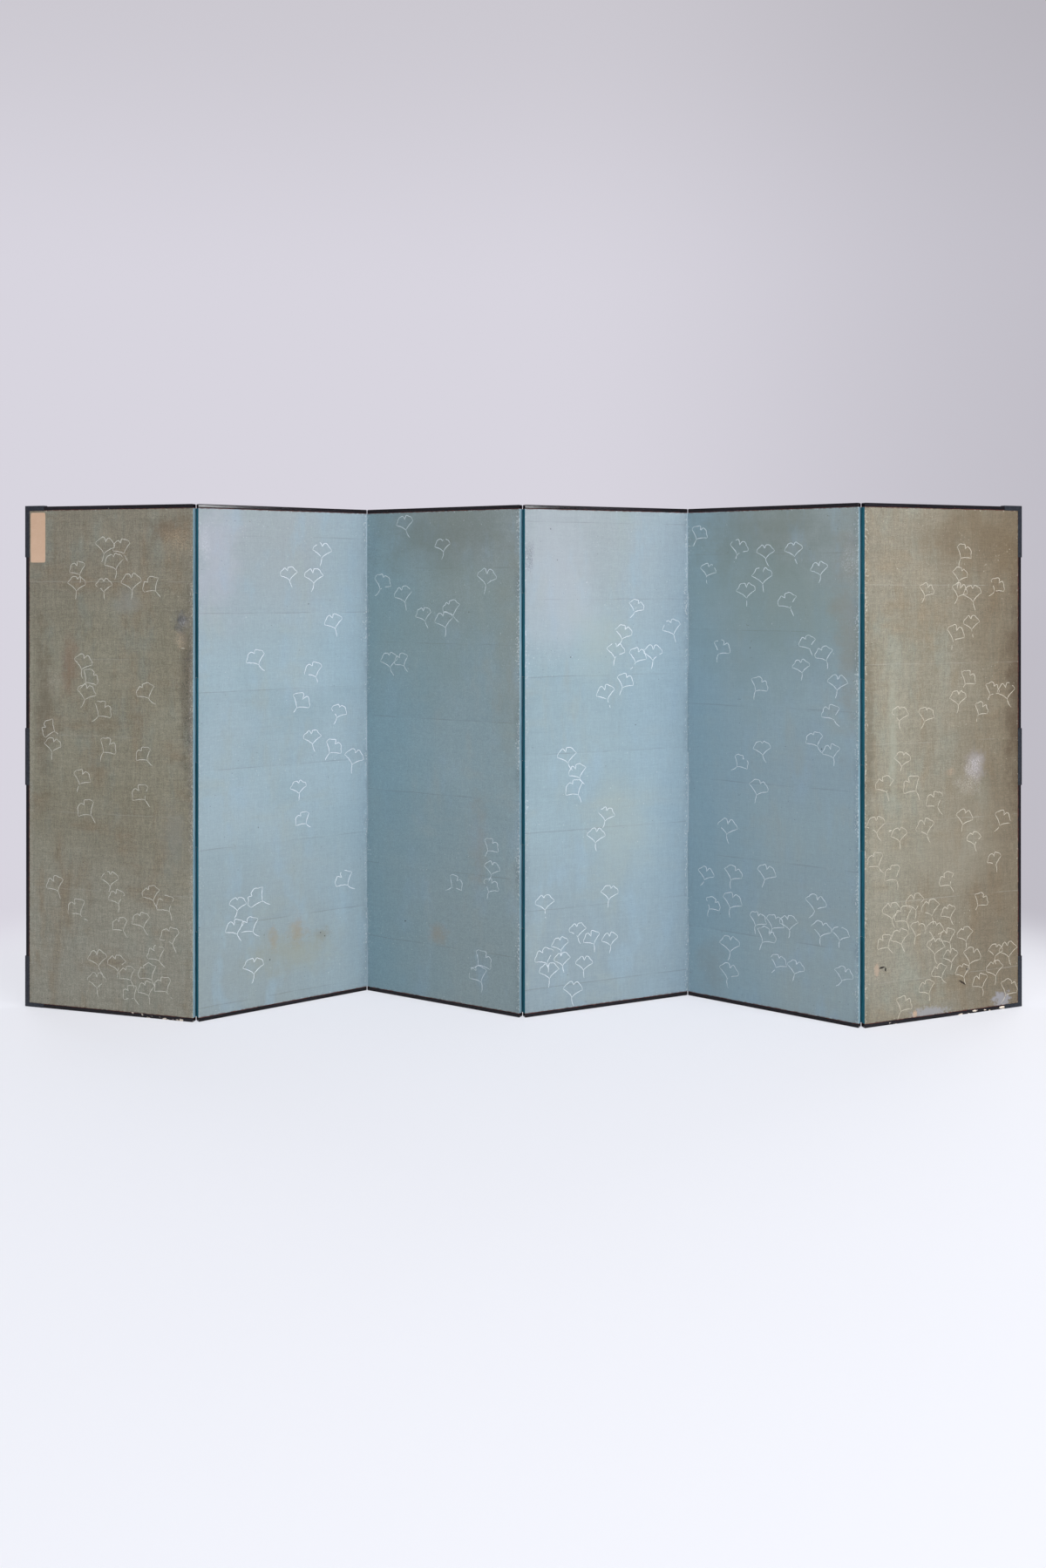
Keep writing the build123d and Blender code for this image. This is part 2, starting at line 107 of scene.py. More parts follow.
class Recipe:
    """A finish's node tree while it is being put together round one Principled shader."""

    def __init__(self, name: str) -> None:
        """Start an empty tree with its shader and output.

        Args:
            name: The material's name.
        """
        self.material = bpy.data.materials.new(name)
        self.material.use_nodes = True
        self.tree = self.material.node_tree
        self.tree.nodes.clear()
        self.shader = self.add("ShaderNodeBsdfPrincipled")
        self.output = self.add("ShaderNodeOutputMaterial")
        self.feed(self.output.inputs["Surface"], self.shader.outputs[0])

    @classmethod
    def within(cls, tree: bpy.types.NodeTree) -> "Recipe":
        """A recipe in a world's tree, with an output and no shader yet.

        Args:
            tree: The world's tree, which is cleared.

        Returns:
            The recipe.
        """
        recipe = cls.__new__(cls)
        recipe.tree = tree
        tree.nodes.clear()
        recipe.output = recipe.add("ShaderNodeOutputWorld")
        return recipe

    def add(self, kind: str, **settings: object) -> bpy.types.Node:
        """Add a node.

        Args:
            kind: The node's type.
            **settings: Its settings, by their names.

        Returns:
            The node.
        """
        node = self.tree.nodes.new(kind)
        for key, value in settings.items():
            setattr(node, key, value)
        return node

    def feed(self, socket: Socket, value: object) -> None:
        """Link a socket's value from another socket, or write it on the socket.

        Args:
            socket: What is fed.
            value: Another socket, a number, a vector or a colour.
        """
        if isinstance(value, Socket):
            self.tree.links.new(value, socket)
        elif isinstance(value, tuple) and len(value) == 3 and socket.type == "RGBA":
            socket.default_value = (*value, 1.0)
        else:
            socket.default_value = value

    def fill(self, node: bpy.types.Node, values: dict[str | int, object]) -> None:
        """Feed several of a node's inputs, by their names or numbers."""
        for key, value in values.items():
            self.feed(node.inputs[key], value)

    def set(self, **values: object) -> None:
        """Feed the shader's own sockets, named with underscores for spaces."""
        for key, value in values.items():
            self.feed(self.shader.inputs[key.replace("_", " ")], value)

    def attribute(self, name: str) -> Socket:
        """A point attribute of the mesh as a vector."""
        return self.add("ShaderNodeAttribute", attribute_name=name).outputs["Vector"]

    def amount(self, name: str) -> Socket:
        """A point attribute of the mesh as a number."""
        return self.add("ShaderNodeAttribute", attribute_name=name).outputs["Fac"]

    def solid_place(self) -> Socket:
        """The point's place in the object, for pieces that carry no place of their own."""
        return self.add("ShaderNodeTexCoord").outputs["Object"]

    def split(self, vector: Socket) -> Sequence[Socket]:
        """Take a vector apart.

        Args:
            vector: What is taken apart.

        Returns:
            Its three parts.
        """
        node = self.add("ShaderNodeSeparateXYZ")
        self.feed(node.inputs[0], vector)
        return node.outputs

    def stretch(self, vector: Socket, by: Point, shift: Point = (0, 0, 0)) -> Socket:
        """A vector multiplied part by part, then moved.

        Args:
            vector: What is stretched.
            by: The factor for each part.
            shift: What is added to each part afterwards.

        Returns:
            The new vector.
        """
        node = self.add("ShaderNodeVectorMath", operation="MULTIPLY_ADD")
        self.feed(node.inputs[0], vector)
        self.feed(node.inputs[1], by)
        self.feed(node.inputs[2], shift)
        return node.outputs[0]

    def math(self, operation: str, a: Number, b: Number = 0.0, clamp: bool = False) -> Socket:
        """One sum of two numbers.

        Args:
            operation: The name of the sum, such as MULTIPLY.
            a: The first number.
            b: The second one.
            clamp: Whether the result is kept from 0 to 1.

        Returns:
            The result.
        """
        node = self.add("ShaderNodeMath", operation=operation, use_clamp=clamp)
        self.feed(node.inputs[0], a)
        self.feed(node.inputs[1], b)
        return node.outputs[0]

    def noise(self, vector: Socket, scale: float, detail: float = 2.0, roughness: float = 0.5) -> Socket:
        """Cloudy noise from 0 to 1, mostly near a half.

        Args:
            vector: Where it is read.
            scale: Clouds to a unit of the vector.
            detail: How many finer layers it has.
            roughness: How strong those are.

        Returns:
            The noise.
        """
        node = self.add("ShaderNodeTexNoise")
        self.fill(node, {"Vector": vector, "Scale": scale, "Detail": detail, "Roughness": roughness})
        return node.outputs["Fac"]

    def cells(self, vector: Socket) -> tuple[Socket, Socket]:
        """Scattered cells.

        Args:
            vector: Where they are read, with one cell to a unit.

        Returns:
            The distance to the nearest middle, and each cell's own number from 0 to 1.
        """
        node = self.add("ShaderNodeTexVoronoi")
        self.feed(node.inputs["Vector"], vector)
        self.feed(node.inputs["Scale"], 1.0)
        return node.outputs["Distance"], self.split(node.outputs["Color"])[0]

    def window(self, value: Number, low: float, high: float, start: float = 0.0, end: float = 1.0) -> Socket:
        """A smooth step of a value.

        Args:
            value: What is read.
            low: Where the step starts.
            high: Where it ends.
            start: The result at and below low.
            end: The result at and above high.

        Returns:
            The stepped number.
        """
        node = self.add("ShaderNodeMapRange", interpolation_type="SMOOTHSTEP")
        self.fill(node, {"Value": value, "From Min": low, "From Max": high, "To Min": start, "To Max": end})
        return node.outputs[0]

    def mix(self, share: Number, a: object, b: object, mode: str = "MIX") -> Socket:
        """Two colours mixed.

        Args:
            share: How much of the second one.
            a: The first colour.
            b: The second one.
            mode: The way in which they are mixed.

        Returns:
            The mixed colour.
        """
        node = self.add("ShaderNodeMix", data_type="RGBA", blend_type=mode)
        self.fill(node, {MIX_SHARE: share, MIX_FIRST: a, MIX_SECOND: b})
        return node.outputs[MIX_RESULT]

    def off_middle(self, turns: Number) -> Socket:
        """How far a number is from the middle of its whole step, from 0 to a half."""
        return self.math("ABSOLUTE", self.math("SUBTRACT", self.math("FRACT", turns), 0.5))

    def bump(self, height: Socket, depth: float, strength: float = 1.0) -> None:
        """Raise the shader's surface by a height map.

        Args:
            height: The map, from 0 to 1.
            depth: How high 1 stands, in metres.
            strength: The share of it that shows.
        """
        node = self.add("ShaderNodeBump")
        self.fill(node, {"Height": height, "Distance": depth, "Strength": strength})
        self.feed(self.shader.inputs["Normal"], node.outputs[0])


# ---------------------------------------------------------------- finishes
class Wear(Enum):
    """The kinds of mark that age leaves on a painted sheet."""

    STAIN = "soaked in, with a soft uneven rim"
    SCUFF = "a haze with fine rubbed flecks"
    LOSS = "paint gone from a patch with a crisp rim"
    TEAR = "a small dark break in the paper"


STAIN, SCUFF, LOSS, TEAR = Wear.STAIN, Wear.SCUFF, Wear.LOSS, Wear.TEAR
FINE_RIM, COARSE_RIM = 2.4, 1.1
RIM_SWING = {STAIN: 1.9, SCUFF: 1.9, LOSS: 2.6, TEAR: 1.5}
RIM_STEP = {STAIN: (0.05, 1.0), SCUFF: (0.1, 1.0), LOSS: (0.50, 1.05), TEAR: (0.55, 0.85)}
FLECK_STRETCH = (330.0, 240.0, 1)


@dataclass(frozen=True)
class Mark:
    """One worn or stained place on a painted sheet, or a patch of painted reflected light."""

    wear: Wear
    u: float
    z: float
    half_width: float
    half_height: float
    colour: Colour
    strength: float = 0.5
    turn: float = 0.0

    def lay(self, r: Recipe, colour: Socket, place: Socket) -> Socket:
        """Lay the mark over a colour.

        Args:
            r: The tree that it goes in.
            colour: The paint below.
            place: The point's place on the sheet.

        Returns:
            The colour with the mark on it.
        """
        size = min(self.half_width, self.half_height)
        centred = r.stretch(place, (1, 1, 0), (-self.u, -self.z, 0))
        if self.turn:
            spin = r.add("ShaderNodeVectorRotate", rotation_type="Z_AXIS")
            r.feed(spin.inputs["Vector"], centred)
            r.feed(spin.inputs["Angle"], math.radians(-self.turn))
            centred = spin.outputs[0]
        oval = r.stretch(centred, (1 / self.half_width, 1 / self.half_height, 0))
        length = r.add("ShaderNodeVectorMath", operation="LENGTH")
        r.feed(length.inputs[0], oval)
        ragged = r.noise(place, (FINE_RIM if self.wear is LOSS else COARSE_RIM) / size, 6.0, 0.66)
        swing = r.math("MULTIPLY", r.math("SUBTRACT", ragged, 0.5), RIM_SWING[self.wear])
        share = r.window(r.math("ADD", length.outputs["Value"], swing), *RIM_STEP[self.wear], 1.0, 0.0)
        if self.wear is SCUFF:
            flecks = r.window(r.noise(r.stretch(place, FLECK_STRETCH), 1.0, 4.0, 0.75), 0.50, 0.60, 0.10, 1.0)
            share = r.math("MULTIPLY", share, flecks)
        return r.mix(r.math("MULTIPLY", share, self.strength), colour, self.colour)


Grain = tuple[Point, Point, float]

BRUSHED: tuple[Grain, ...] = (
    ((110.0, 4.0, 1.0), (0, 0, 0), 0.55),
    ((4.5, 95.0, 1.0), (4, 4, 0), 0.5),
    ((330.0, 42.0, 1.0), (2, 7, 0), 1.3),
    ((50.0, 310.0, 1.0), (7, 2, 0), 1.1),
)
WARM_UPRIGHT: Grain = ((15.0, 4.0, 1.0), (0, 0, 0), 0.50)
COOL_UPRIGHT: Grain = ((13.0, 5.0, 1.0), (8, 3, 0), 0.50)
WARM_LEVEL: Grain = ((4.5, 9.0, 1.0), (5, 2, 0), 0.53)
PANEL_SHIFT = (3.7, 1.9, 0.61)
CROWN_STEP, FOOT_STEP = (1.30, 1.80), (0.30, 0.95)
SIDE_WANDER = 0.18
DRIFT_STEP = 0.22
JOINT_RISE = 0.041
SHEET_LAP = (0.4925, 0.4975)
SHEET_TONES = (0.982, 1.016)
RED_GROUND = ink(84, 60, 52)
FOX_BROWN = ink(62, 56, 48)


@dataclass(frozen=True)
class GroundPaint:
    """A mineral-coloured ground on joined sheets of paper, aged, streaked and rubbed at its folds.

    The crown and foot are its tones along the top and bottom, and rub_left and rub_right how worn the two
    fold edges are.
    """

    base: Colour
    deep: Colour
    warm: Colour
    cool: Colour
    crown: Colour
    foot: Colour
    rubbed: Colour
    mottle: float = 0.5
    streaks: float = 0.030
    grain: float = 0.045
    rub_left: float = 0.5
    rub_right: float = 0.5
    joint: Colour = (0.10, 0.09, 0.07)
    # Towards one side: painted shade and bluish bounce light by a valley fold on the blue panels, a browning
    # on the last panel.
    side_browning_and_valley_shade: Colour = (0.10, 0.07, 0.045)
    side_from: float = 0.0
    side_to: float = 1.0
    side_share: float = 0.0
    joint_share: float = 0.28
    sheet_pitch: float = 0.262
    marks: tuple[Mark, ...] = ()

    def dress(self, name: str, panel: int) -> Finish:
        """Make this ground for one panel.

        Args:
            name: The material's name.
            panel: The panel's number, which shifts every pattern.

        Returns:
            The material.
        """
        r = Recipe(name)
        place = r.attribute("sheet_place")
        edges = r.split(r.attribute("sheet_edges"))
        at = r.stretch(place, (1, 1, 0), tuple(panel * shift for shift in PANEL_SHIFT))
        colour = self._toned(r, at, place)
        colour = self._streaked(r, colour, at)
        colour, seam = self._jointed(r, colour, at, panel)
        for mark in self.marks:
            colour = mark.lay(r, colour, place)
        colour = self._rubbed(r, colour, at, edges)
        colour = self._speckled(r, colour, at)
        thread = r.noise(r.stretch(at, (1.0, 0.06, 1)), 900.0, 1.0)
        weft = r.noise(r.stretch(at, (0.06, 1.0, 1)), 900.0, 1.0)
        height = r.math("ADD", r.math("ADD", thread, weft), r.math("MULTIPLY", seam, 1.4))
        r.bump(height, 0.10 * MM, 0.7)
        r.set(Base_Color=colour, Roughness=r.window(thread, 0.2, 0.8, 0.76, 0.90), Specular_IOR_Level=0.2)
        return r.material

    def _toned(self, r: Recipe, at: Socket, place: Socket) -> Socket:
        """The ground's own tones: cloudy, with upright drifts of warm and cool, and its crown and foot; then,
        towards one side, painted shade and bounce light by a valley fold on the blue panels, and a browning
        on the last panel.

        Args:
            r: The tree.
            at: The point's place, shifted for the panel.
            place: Its place on the sheet.

        Returns:
            The toned colour.
        """
        colour = r.mix(r.window(r.noise(at, 4.2, 4.0, 0.55), 0.32, 0.68), self.base, self.deep)
        height = r.math("ADD", r.split(place)[1], r.math("MULTIPLY", r.noise(at, 2.6, 3.0), 0.34))
        colour = r.mix(r.window(height, *CROWN_STEP), colour, self.crown)
        colour = r.mix(r.window(height, *FOOT_STEP, 1.0, 0.0), colour, self.foot)
        drifts = ((WARM_UPRIGHT, self.warm), (COOL_UPRIGHT, self.cool), (WARM_LEVEL, self.warm))
        for (by, shift, low), tone in drifts:
            clouds = r.noise(r.stretch(at, by, shift), 1.0, 4.0, 0.6)
            colour = r.mix(r.window(clouds, low, low + DRIFT_STEP, 0.0, self.mottle), colour, tone)
        # Painted shade and bluish bounce light towards a valley fold on the blue panels; a browning towards
        # the right on the last panel.
        wander = r.math("MULTIPLY", r.noise(r.stretch(at, (5.0, 3.0, 1)), 1.0, 4.0), 2 * SIDE_WANDER)
        across = r.math("ADD", r.split(place)[0], wander)
        start, end = self.side_from + SIDE_WANDER, self.side_to + SIDE_WANDER
        return r.mix(r.window(across, start, end, 0.0, self.side_share), colour, self.side_browning_and_valley_shade)

    def _streaked(self, r: Recipe, colour: Socket, at: Socket) -> Socket:
        """Brush and fibre streaks, upright and level, and the fine grain of the pigment.

        Args:
            r: The tree.
            colour: The paint below.
            at: The point's place, shifted for the panel.

        Returns:
            The streaked colour.
        """
        for by, shift, share in BRUSHED:
            streak = r.noise(r.stretch(at, by, shift), 1.0, 3.0, 0.6)
            tone = r.window(streak, 0.25, 0.75, 1.0 - self.streaks * share, 1.0 + self.streaks * share)
            colour = r.mix(1.0, colour, tone, "MULTIPLY")
        grit = r.window(r.noise(at, 320.0, 3.0, 0.7), 0.28, 0.72, 1.0 - self.grain, 1.0 + self.grain)
        return r.mix(1.0, colour, grit, "MULTIPLY")

    def _jointed(self, r: Recipe, colour: Socket, at: Socket, panel: int) -> tuple[Socket, Socket]:
        """The level joints where one sheet of paper laps the next, and each sheet's own tone.

        Args:
            r: The tree.
            colour: The paint below.
            at: The point's place, shifted for the panel.
            panel: The panel's number, which shifts the joints.

        Returns:
            The jointed colour, and how much of a joint is at the point.
        """
        wobble = r.math("MULTIPLY", r.noise(at, 7.0, 3.0), 0.007)
        height = r.math("ADD", r.split(at)[1], wobble)
        turns = r.math("DIVIDE", r.math("ADD", height, JOINT_RISE * panel), self.sheet_pitch)
        line = r.window(r.off_middle(turns), *SHEET_LAP)
        broken = r.window(r.noise(r.stretch(at, (8.0, 3.0, 1)), 1.0, 4.0), 0.38, 0.62)
        seam = r.math("MULTIPLY", line, broken)
        own = r.add("ShaderNodeTexWhiteNoise", noise_dimensions="1D")
        r.feed(own.inputs["W"], r.math("FLOOR", turns))
        tone = r.window(own.outputs["Value"], 0.0, 1.0, *SHEET_TONES)
        colour = r.mix(1.0, colour, tone, "MULTIPLY")
        return r.mix(r.math("MULTIPLY", seam, self.joint_share), colour, self.joint), seam

    def _rubbed(self, r: Recipe, colour: Socket, at: Socket, edges: Sequence[Socket]) -> Socket:
        """Grime and flecks of lost paint beside the folds, and a worn line beside the rails.

        Args:
            r: The tree.
            colour: The paint below.
            at: The point's place, shifted for the panel.
            edges: The distances to the left fold, the right fold and the nearest rail.

        Returns:
            The rubbed colour.
        """
        smudge = r.window(r.noise(r.stretch(at, (22.0, 9.0, 1), (1, 9, 0)), 1.0, 5.0, 0.65), 0.42, 0.66)
        flecks = r.noise(r.stretch(at, (210.0, 130.0, 1)), 1.0, 3.0, 0.65)
        along = r.window(r.noise(r.stretch(at, (1.0, 7.0, 1), (3, 3, 0)), 1.0, 3.0), 0.36, 0.66, 0.0, 0.07)
        for distance, rub in ((edges[0], self.rub_left), (edges[1], self.rub_right)):
            grime = r.math("MULTIPLY", r.window(distance, 1.0 * MM, 30.0 * MM, 0.50 * rub, 0.0), smudge)
            colour = r.mix(grime, colour, tuple(0.42 * c for c in self.deep))
            reach = r.window(distance, 0.0, 26.0 * MM, 0.10 + 0.10 * rub, 0.0)
            worn = r.math("ADD", r.math("ADD", flecks, reach), along)
            colour = r.mix(r.window(worn, 0.735, 0.80, 0.0, 0.30 + 0.45 * rub), colour, self.rubbed)
        broken = r.window(r.noise(at, 90.0, 4.0), 0.40, 0.60)
        rim = r.math("MULTIPLY", r.window(edges[2], 0.6 * MM, 4.0 * MM, 1.0, 0.0), broken)
        colour = r.mix(r.math("MULTIPLY", rim, 0.6), colour, RED_GROUND)
        chalk = r.math("ADD", flecks, r.window(edges[2], 0.0, 16.0 * MM, 0.17, 0.0))
        return r.mix(r.window(chalk, 0.775, 0.82, 0.0, 0.55), colour, self.rubbed)

    def _speckled(self, r: Recipe, colour: Socket, at: Socket) -> Socket:
        """Sparse fox marks and pale flecks over the whole sheet.

        Args:
            r: The tree.
            colour: The paint below.
            at: The point's place, shifted for the panel.

        Returns:
            The speckled colour.
        """
        dark = r.window(r.noise(at, 130.0, 2.0), 0.745, 0.78, 0.0, 0.6)
        colour = r.mix(dark, colour, FOX_BROWN)
        pale = r.window(r.noise(r.stretch(at, (1, 1, 0), (11, 5, 2)), 110.0, 3.0), 0.725, 0.765, 0.0, 0.45)
        return r.mix(pale, colour, self.rubbed)


@dataclass(frozen=True)
class ShellWhite:
    """A raised line of shell-white paint, thinned and rubbed in places."""

    white: Colour
    ground: Colour
    thin: float = 0.5

    def dress(self, name: str) -> Finish:
        """Make the paint.

        Args:
            name: The material's name.

        Returns:
            The material.
        """
        r = Recipe(name)
        place = r.attribute("line_place")
        worn = r.window(r.noise(place, 55.0, 4.0, 0.65), 0.42, 0.68, 0.0, self.thin)
        grain = r.noise(place, 700.0, 2.0)
        r.set(Base_Color=r.mix(worn, self.white, self.ground), Roughness=0.78, Specular_IOR_Level=0.3)
        r.bump(grain, 0.05 * MM, 0.6)
        return r.material


BACKING_SHEET = (0.314, 0.423)
LAP_STEP = (0.484, 0.486)


@dataclass(frozen=True)
class PlainPaper:
    """Unpainted handmade paper with long fibres, joins and some age."""

    base: Colour
    aged: Colour
    fibre: Colour
    gloss: float = 0.86
    joints: bool = False
    inner: Colour | None = None

    def dress(self, name: str, place_name: str = "") -> Finish:
        """Make the paper.

        Args:
            name: The material's name.
            place_name: The attribute that gives the place on the sheet; none takes the object's.

        Returns:
            The material.
        """
        r = Recipe(name)
        place = r.attribute(place_name) if place_name else r.solid_place()
        clouds = r.math("MULTIPLY", r.noise(place, 26.0, 5.0, 0.7), 0.5)
        clouds = r.math("ADD", r.noise(place, 1.7, 3.0), clouds)
        colour = r.mix(r.window(clouds, 0.50, 1.0), self.base, self.aged)
        mesh = r.noise(r.stretch(place, (34.0, 240.0, 120.0)), 1.0, 3.0, 0.6)
        colour = r.mix(r.window(mesh, 0.56, 0.76, 0.0, 0.30), colour, self.fibre)
        long_fibre = r.noise(r.stretch(place, (260.0, 34.0, 120.0)), 1.0, 3.0, 0.6)
        colour = r.mix(r.window(long_fibre, 0.60, 0.76, 0.0, 0.45), colour, self.fibre)
        spots = r.window(r.noise(place, 60.0, 4.0, 0.7), 0.70, 0.78, 0.0, 0.4)
        colour = r.mix(spots, colour, tuple(0.6 * c for c in self.aged))
        height = long_fibre
        if self.joints:
            parts = r.split(place)
            for part, pitch in zip(parts, BACKING_SHEET):
                lap = r.window(r.off_middle(r.math("DIVIDE", part, pitch)), *LAP_STEP)
                colour = r.mix(r.math("MULTIPLY", lap, 0.16), colour, self.fibre)
                height = r.math("ADD", height, lap)
        # A crease's side that faces into the groove takes the inner colour, which holds painted shade.
        if self.inner:
            colour = r.mix(r.amount("inner_side"), colour, self.inner)
        r.set(Base_Color=colour, Roughness=self.gloss, Specular_IOR_Level=0.25)
        r.bump(height, 0.08 * MM, 0.7)
        return r.material


@dataclass(frozen=True)
class HingePaper:
    """Dyed hinge paper on a panel's edge: a slight sheen, rubbed pale along its arrises; each copy's tone
    holds painted light, lighter for an edge that faces the light, darker for one that faces away.
    """

    painted_light_tone: Colour
    shade: Colour
    rubbed: Colour
    rub: float = 0.8

    def dress(self, name: str) -> Finish:
        """Make the paper.

        Args:
            name: The material's name.

        Returns:
            The material.
        """
        r = Recipe(name)
        place = r.attribute("edge_place")
        along, _, across = r.split(place)
        tone = r.window(r.noise(r.stretch(place, (60.0, 3.0, 60.0)), 1.0, 4.0, 0.6), 0.30, 0.70)
        colour = r.mix(tone, self.painted_light_tone, self.shade)
        step = r.add("ShaderNodeTexWhiteNoise", noise_dimensions="1D")
        r.feed(step.inputs["W"], along)
        colour = r.mix(1.0, colour, r.window(step.outputs["Value"], 0.0, 1.0, 0.86, 1.12), "MULTIPLY")
        flecks = r.noise(r.stretch(place, (1.0, 70.0, 190.0)), 1.0, 4.0, 0.7)
        arris = r.window(r.math("ABSOLUTE", across), 0.0068, 0.0090, 0.0, 0.14)
        bare = r.window(r.math("ADD", flecks, arris), 0.72, 0.80, 0.0, self.rub)
        r.set(Base_Color=r.mix(bare, colour, self.rubbed), Roughness=0.85, Specular_IOR_Level=0.12)
        r.bump(r.noise(r.stretch(place, (1.0, 240.0, 700.0)), 1.0, 3.0), 0.06 * MM, 0.6)
        return r.material


@dataclass(frozen=True)
class BlackLacquer:
    """Old black lacquer over a red-brown undercoat and chalk gesso."""

    black: Colour = (0.0046, 0.0038, 0.0054)
    undercoat: Colour = field(default_factory=lambda: ink(84, 40, 32))
    gesso: Colour = field(default_factory=lambda: ink(226, 214, 198))

    def dress(self, name: str) -> Finish:
        """Make the lacquer.

        Args:
            name: The material's name.

        Returns:
            The material.
        """
        r = Recipe(name)
        place = r.attribute("rail_place")
        wear = r.amount("rail_wear")
        _, across, _ = r.split(place)
        haze = r.window(r.noise(r.stretch(place, (6.0, 60.0, 60.0)), 1.0, 4.0, 0.6), 0.35, 0.70)
        colour = r.mix(haze, self.black, tuple(2.2 * c for c in self.black))
        rubs = r.noise(r.stretch(place, (60.0, 420.0, 300.0)), 1.0, 3.0, 0.6)
        inner = r.window(across, 0.0110, 0.0132, 0.0, 0.30)
        outer = r.window(across, 0.0, 0.0012, 0.03, 0.0)
        red = r.window(r.math("ADD", rubs, r.math("ADD", inner, outer)), 0.66, 0.74, 0.0, 0.85)
        colour = r.mix(red, colour, self.undercoat)
        ragged = r.noise(r.stretch(place, (260.0, 420.0, 300.0)), 1.0, 3.0, 0.6)
        middle, own = r.cells(r.stretch(place, (34.0, 78.0, 60.0)))
        low = r.window(across, 0.0070, 0.0115, 0.66, 0.30)
        spread = r.math("SUBTRACT", r.math("MULTIPLY", wear, low), r.math("MULTIPLY", own, 0.55))
        uneven = r.math("MULTIPLY", r.math("SUBTRACT", ragged, 0.5), 0.55)
        rim = r.math("SUBTRACT", spread, r.math("ADD", middle, uneven))
        chips = r.window(rim, 0.0, 0.03)
        colour = r.mix(chips, colour, self.gesso)
        dull = r.window(haze, 0.0, 1.0, 0.11, 0.17)
        roughness = r.math("MAXIMUM", dull, r.math("MULTIPLY", r.math("MAXIMUM", chips, red), 0.8))
        r.set(Base_Color=colour, Roughness=roughness, Specular_IOR_Level=0.22)
        waves = r.noise(r.stretch(place, (28.0, 130.0, 130.0)), 1.0, 2.0)
        r.bump(r.math("SUBTRACT", waves, r.math("MULTIPLY", chips, 0.8)), 0.25 * MM, 0.6)
        return r.material


@dataclass(frozen=True)
class BlackIron:
    """Forged iron, smoked black, with brown rust starting in its hollows."""

    black: Colour = (0.018, 0.021, 0.027)
    rust: Colour = field(default_factory=lambda: ink(78, 52, 40))

    def dress(self, name: str) -> Finish:
        """Make the iron.

        Args:
            name: The material's name.

        Returns:
            The material.
        """
        r = Recipe(name)
        place = r.solid_place()
        mottle = r.window(r.noise(place, 160.0, 4.0, 0.6), 0.32, 0.70)
        colour = r.mix(mottle, self.black, tuple(2.1 * c for c in self.black))
        rust = r.window(r.noise(place, 75.0, 5.0, 0.7), 0.62, 0.74, 0.0, 0.7)
        colour = r.mix(rust, colour, self.rust)
        r.set(Base_Color=colour, Metallic=0.55, Roughness=r.window(mottle, 0.0, 1.0, 0.36, 0.58))
        r.bump(r.noise(place, 420.0, 3.0), 0.12 * MM, 0.5)
        return r.material


@dataclass(frozen=True)
class CedarWood:
    """Straight-grained cedar for the lattice."""

    early: Colour = field(default_factory=lambda: ink(206, 168, 122))
    late: Colour = field(default_factory=lambda: ink(160, 112, 72))

    def dress(self, name: str) -> Finish:
        """Make the wood.

        Args:
            name: The material's name.

        Returns:
            The material.
        """
        r = Recipe(name)
        place = r.solid_place()
        rings = r.noise(r.stretch(place, (90.0, 90.0, 5.0)), 1.0, 4.0, 0.55)
        pores = r.noise(r.stretch(place, (600.0, 600.0, 18.0)), 1.0, 2.0)
        colour = r.mix(r.window(rings, 0.36, 0.66), self.early, self.late)
        r.set(Base_Color=r.mix(r.window(pores, 0.55, 0.75, 0.0, 0.3), colour, self.late), Roughness=0.7)
        r.bump(r.math("ADD", rings, pores), 0.1 * MM, 0.5)
        return r.material


# ---------------------------------------------------------------- meshes
class Shape:
    """Points, faces and named point values of a mesh, gathered in a panel's own frame."""

    def __init__(self) -> None:
        """Start with nothing."""
        self.points: list[Point] = []
        self.faces: list[tuple[int, ...]] = []
        self.values: dict[str, list] = {}

    def value(self, name: str, amounts: Sequence) -> None:
        """Add one named value for each of the last points."""
        self.values.setdefault(name, []).extend(amounts)

    def ring_tube(self, rings: Sequence[Sequence[Point]], cap: bool = True) -> None:
        """Join closed rings of equal length into a tube.

        Args:
            rings: The rings in order.
            cap: Whether the two ends are closed.
        """
        start, count = len(self.points), len(rings[0])
        for ring in rings:
            self.points.extend(ring)
        for i in range(len(rings) - 1):
            here, there = start + i * count, start + (i + 1) * count
            for j in range(count):
                k = (j + 1) % count
                self.faces.append((here + j, here + k, there + k, there + j))
        if cap:
            self.faces.append(tuple(start + j for j in reversed(range(count))))
            last = start + (len(rings) - 1) * count
            self.faces.append(tuple(last + j for j in range(count)))

    def build(
        self, name: str, place: Matrix, material: Finish, smooth_angle: float = 40.0
    ) -> Piece:
        """Make the object in the row frame.

        Args:
            name: The piece's name.
            place: The panel's place.
            material: Its finish.
            smooth_angle: Edges sharper than this many degrees stay sharp.

        Returns:
            The new object.
        """
        mesh = bpy.data.meshes.new(name)
        mesh.from_pydata(self.points, [], self.faces)
        for key, amounts in self.values.items():
            flat = np.array(amounts, np.float32)
            kind = "FLOAT_VECTOR" if flat.ndim == 2 else "FLOAT"
            made = mesh.attributes.new(key, kind, "POINT")
            made.data.foreach_set("vector" if flat.ndim == 2 else "value", flat.ravel())
        mesh.transform(place)
        mesh.materials.append(material)
        mesh.validate()
        mesh.shade_smooth()
        mesh.set_sharp_from_angle(angle=math.radians(smooth_angle))
        return shown(name, mesh)


def shown(name: str, data: bpy.types.ID) -> Piece:
    """Put an object in the scene.

    Args:
        name: Its name.
        data: Its mesh, lamp or camera.

    Returns:
        The object.
    """
    piece = bpy.data.objects.new(name, data)
    bpy.context.scene.collection.objects.link(piece)
    return piece


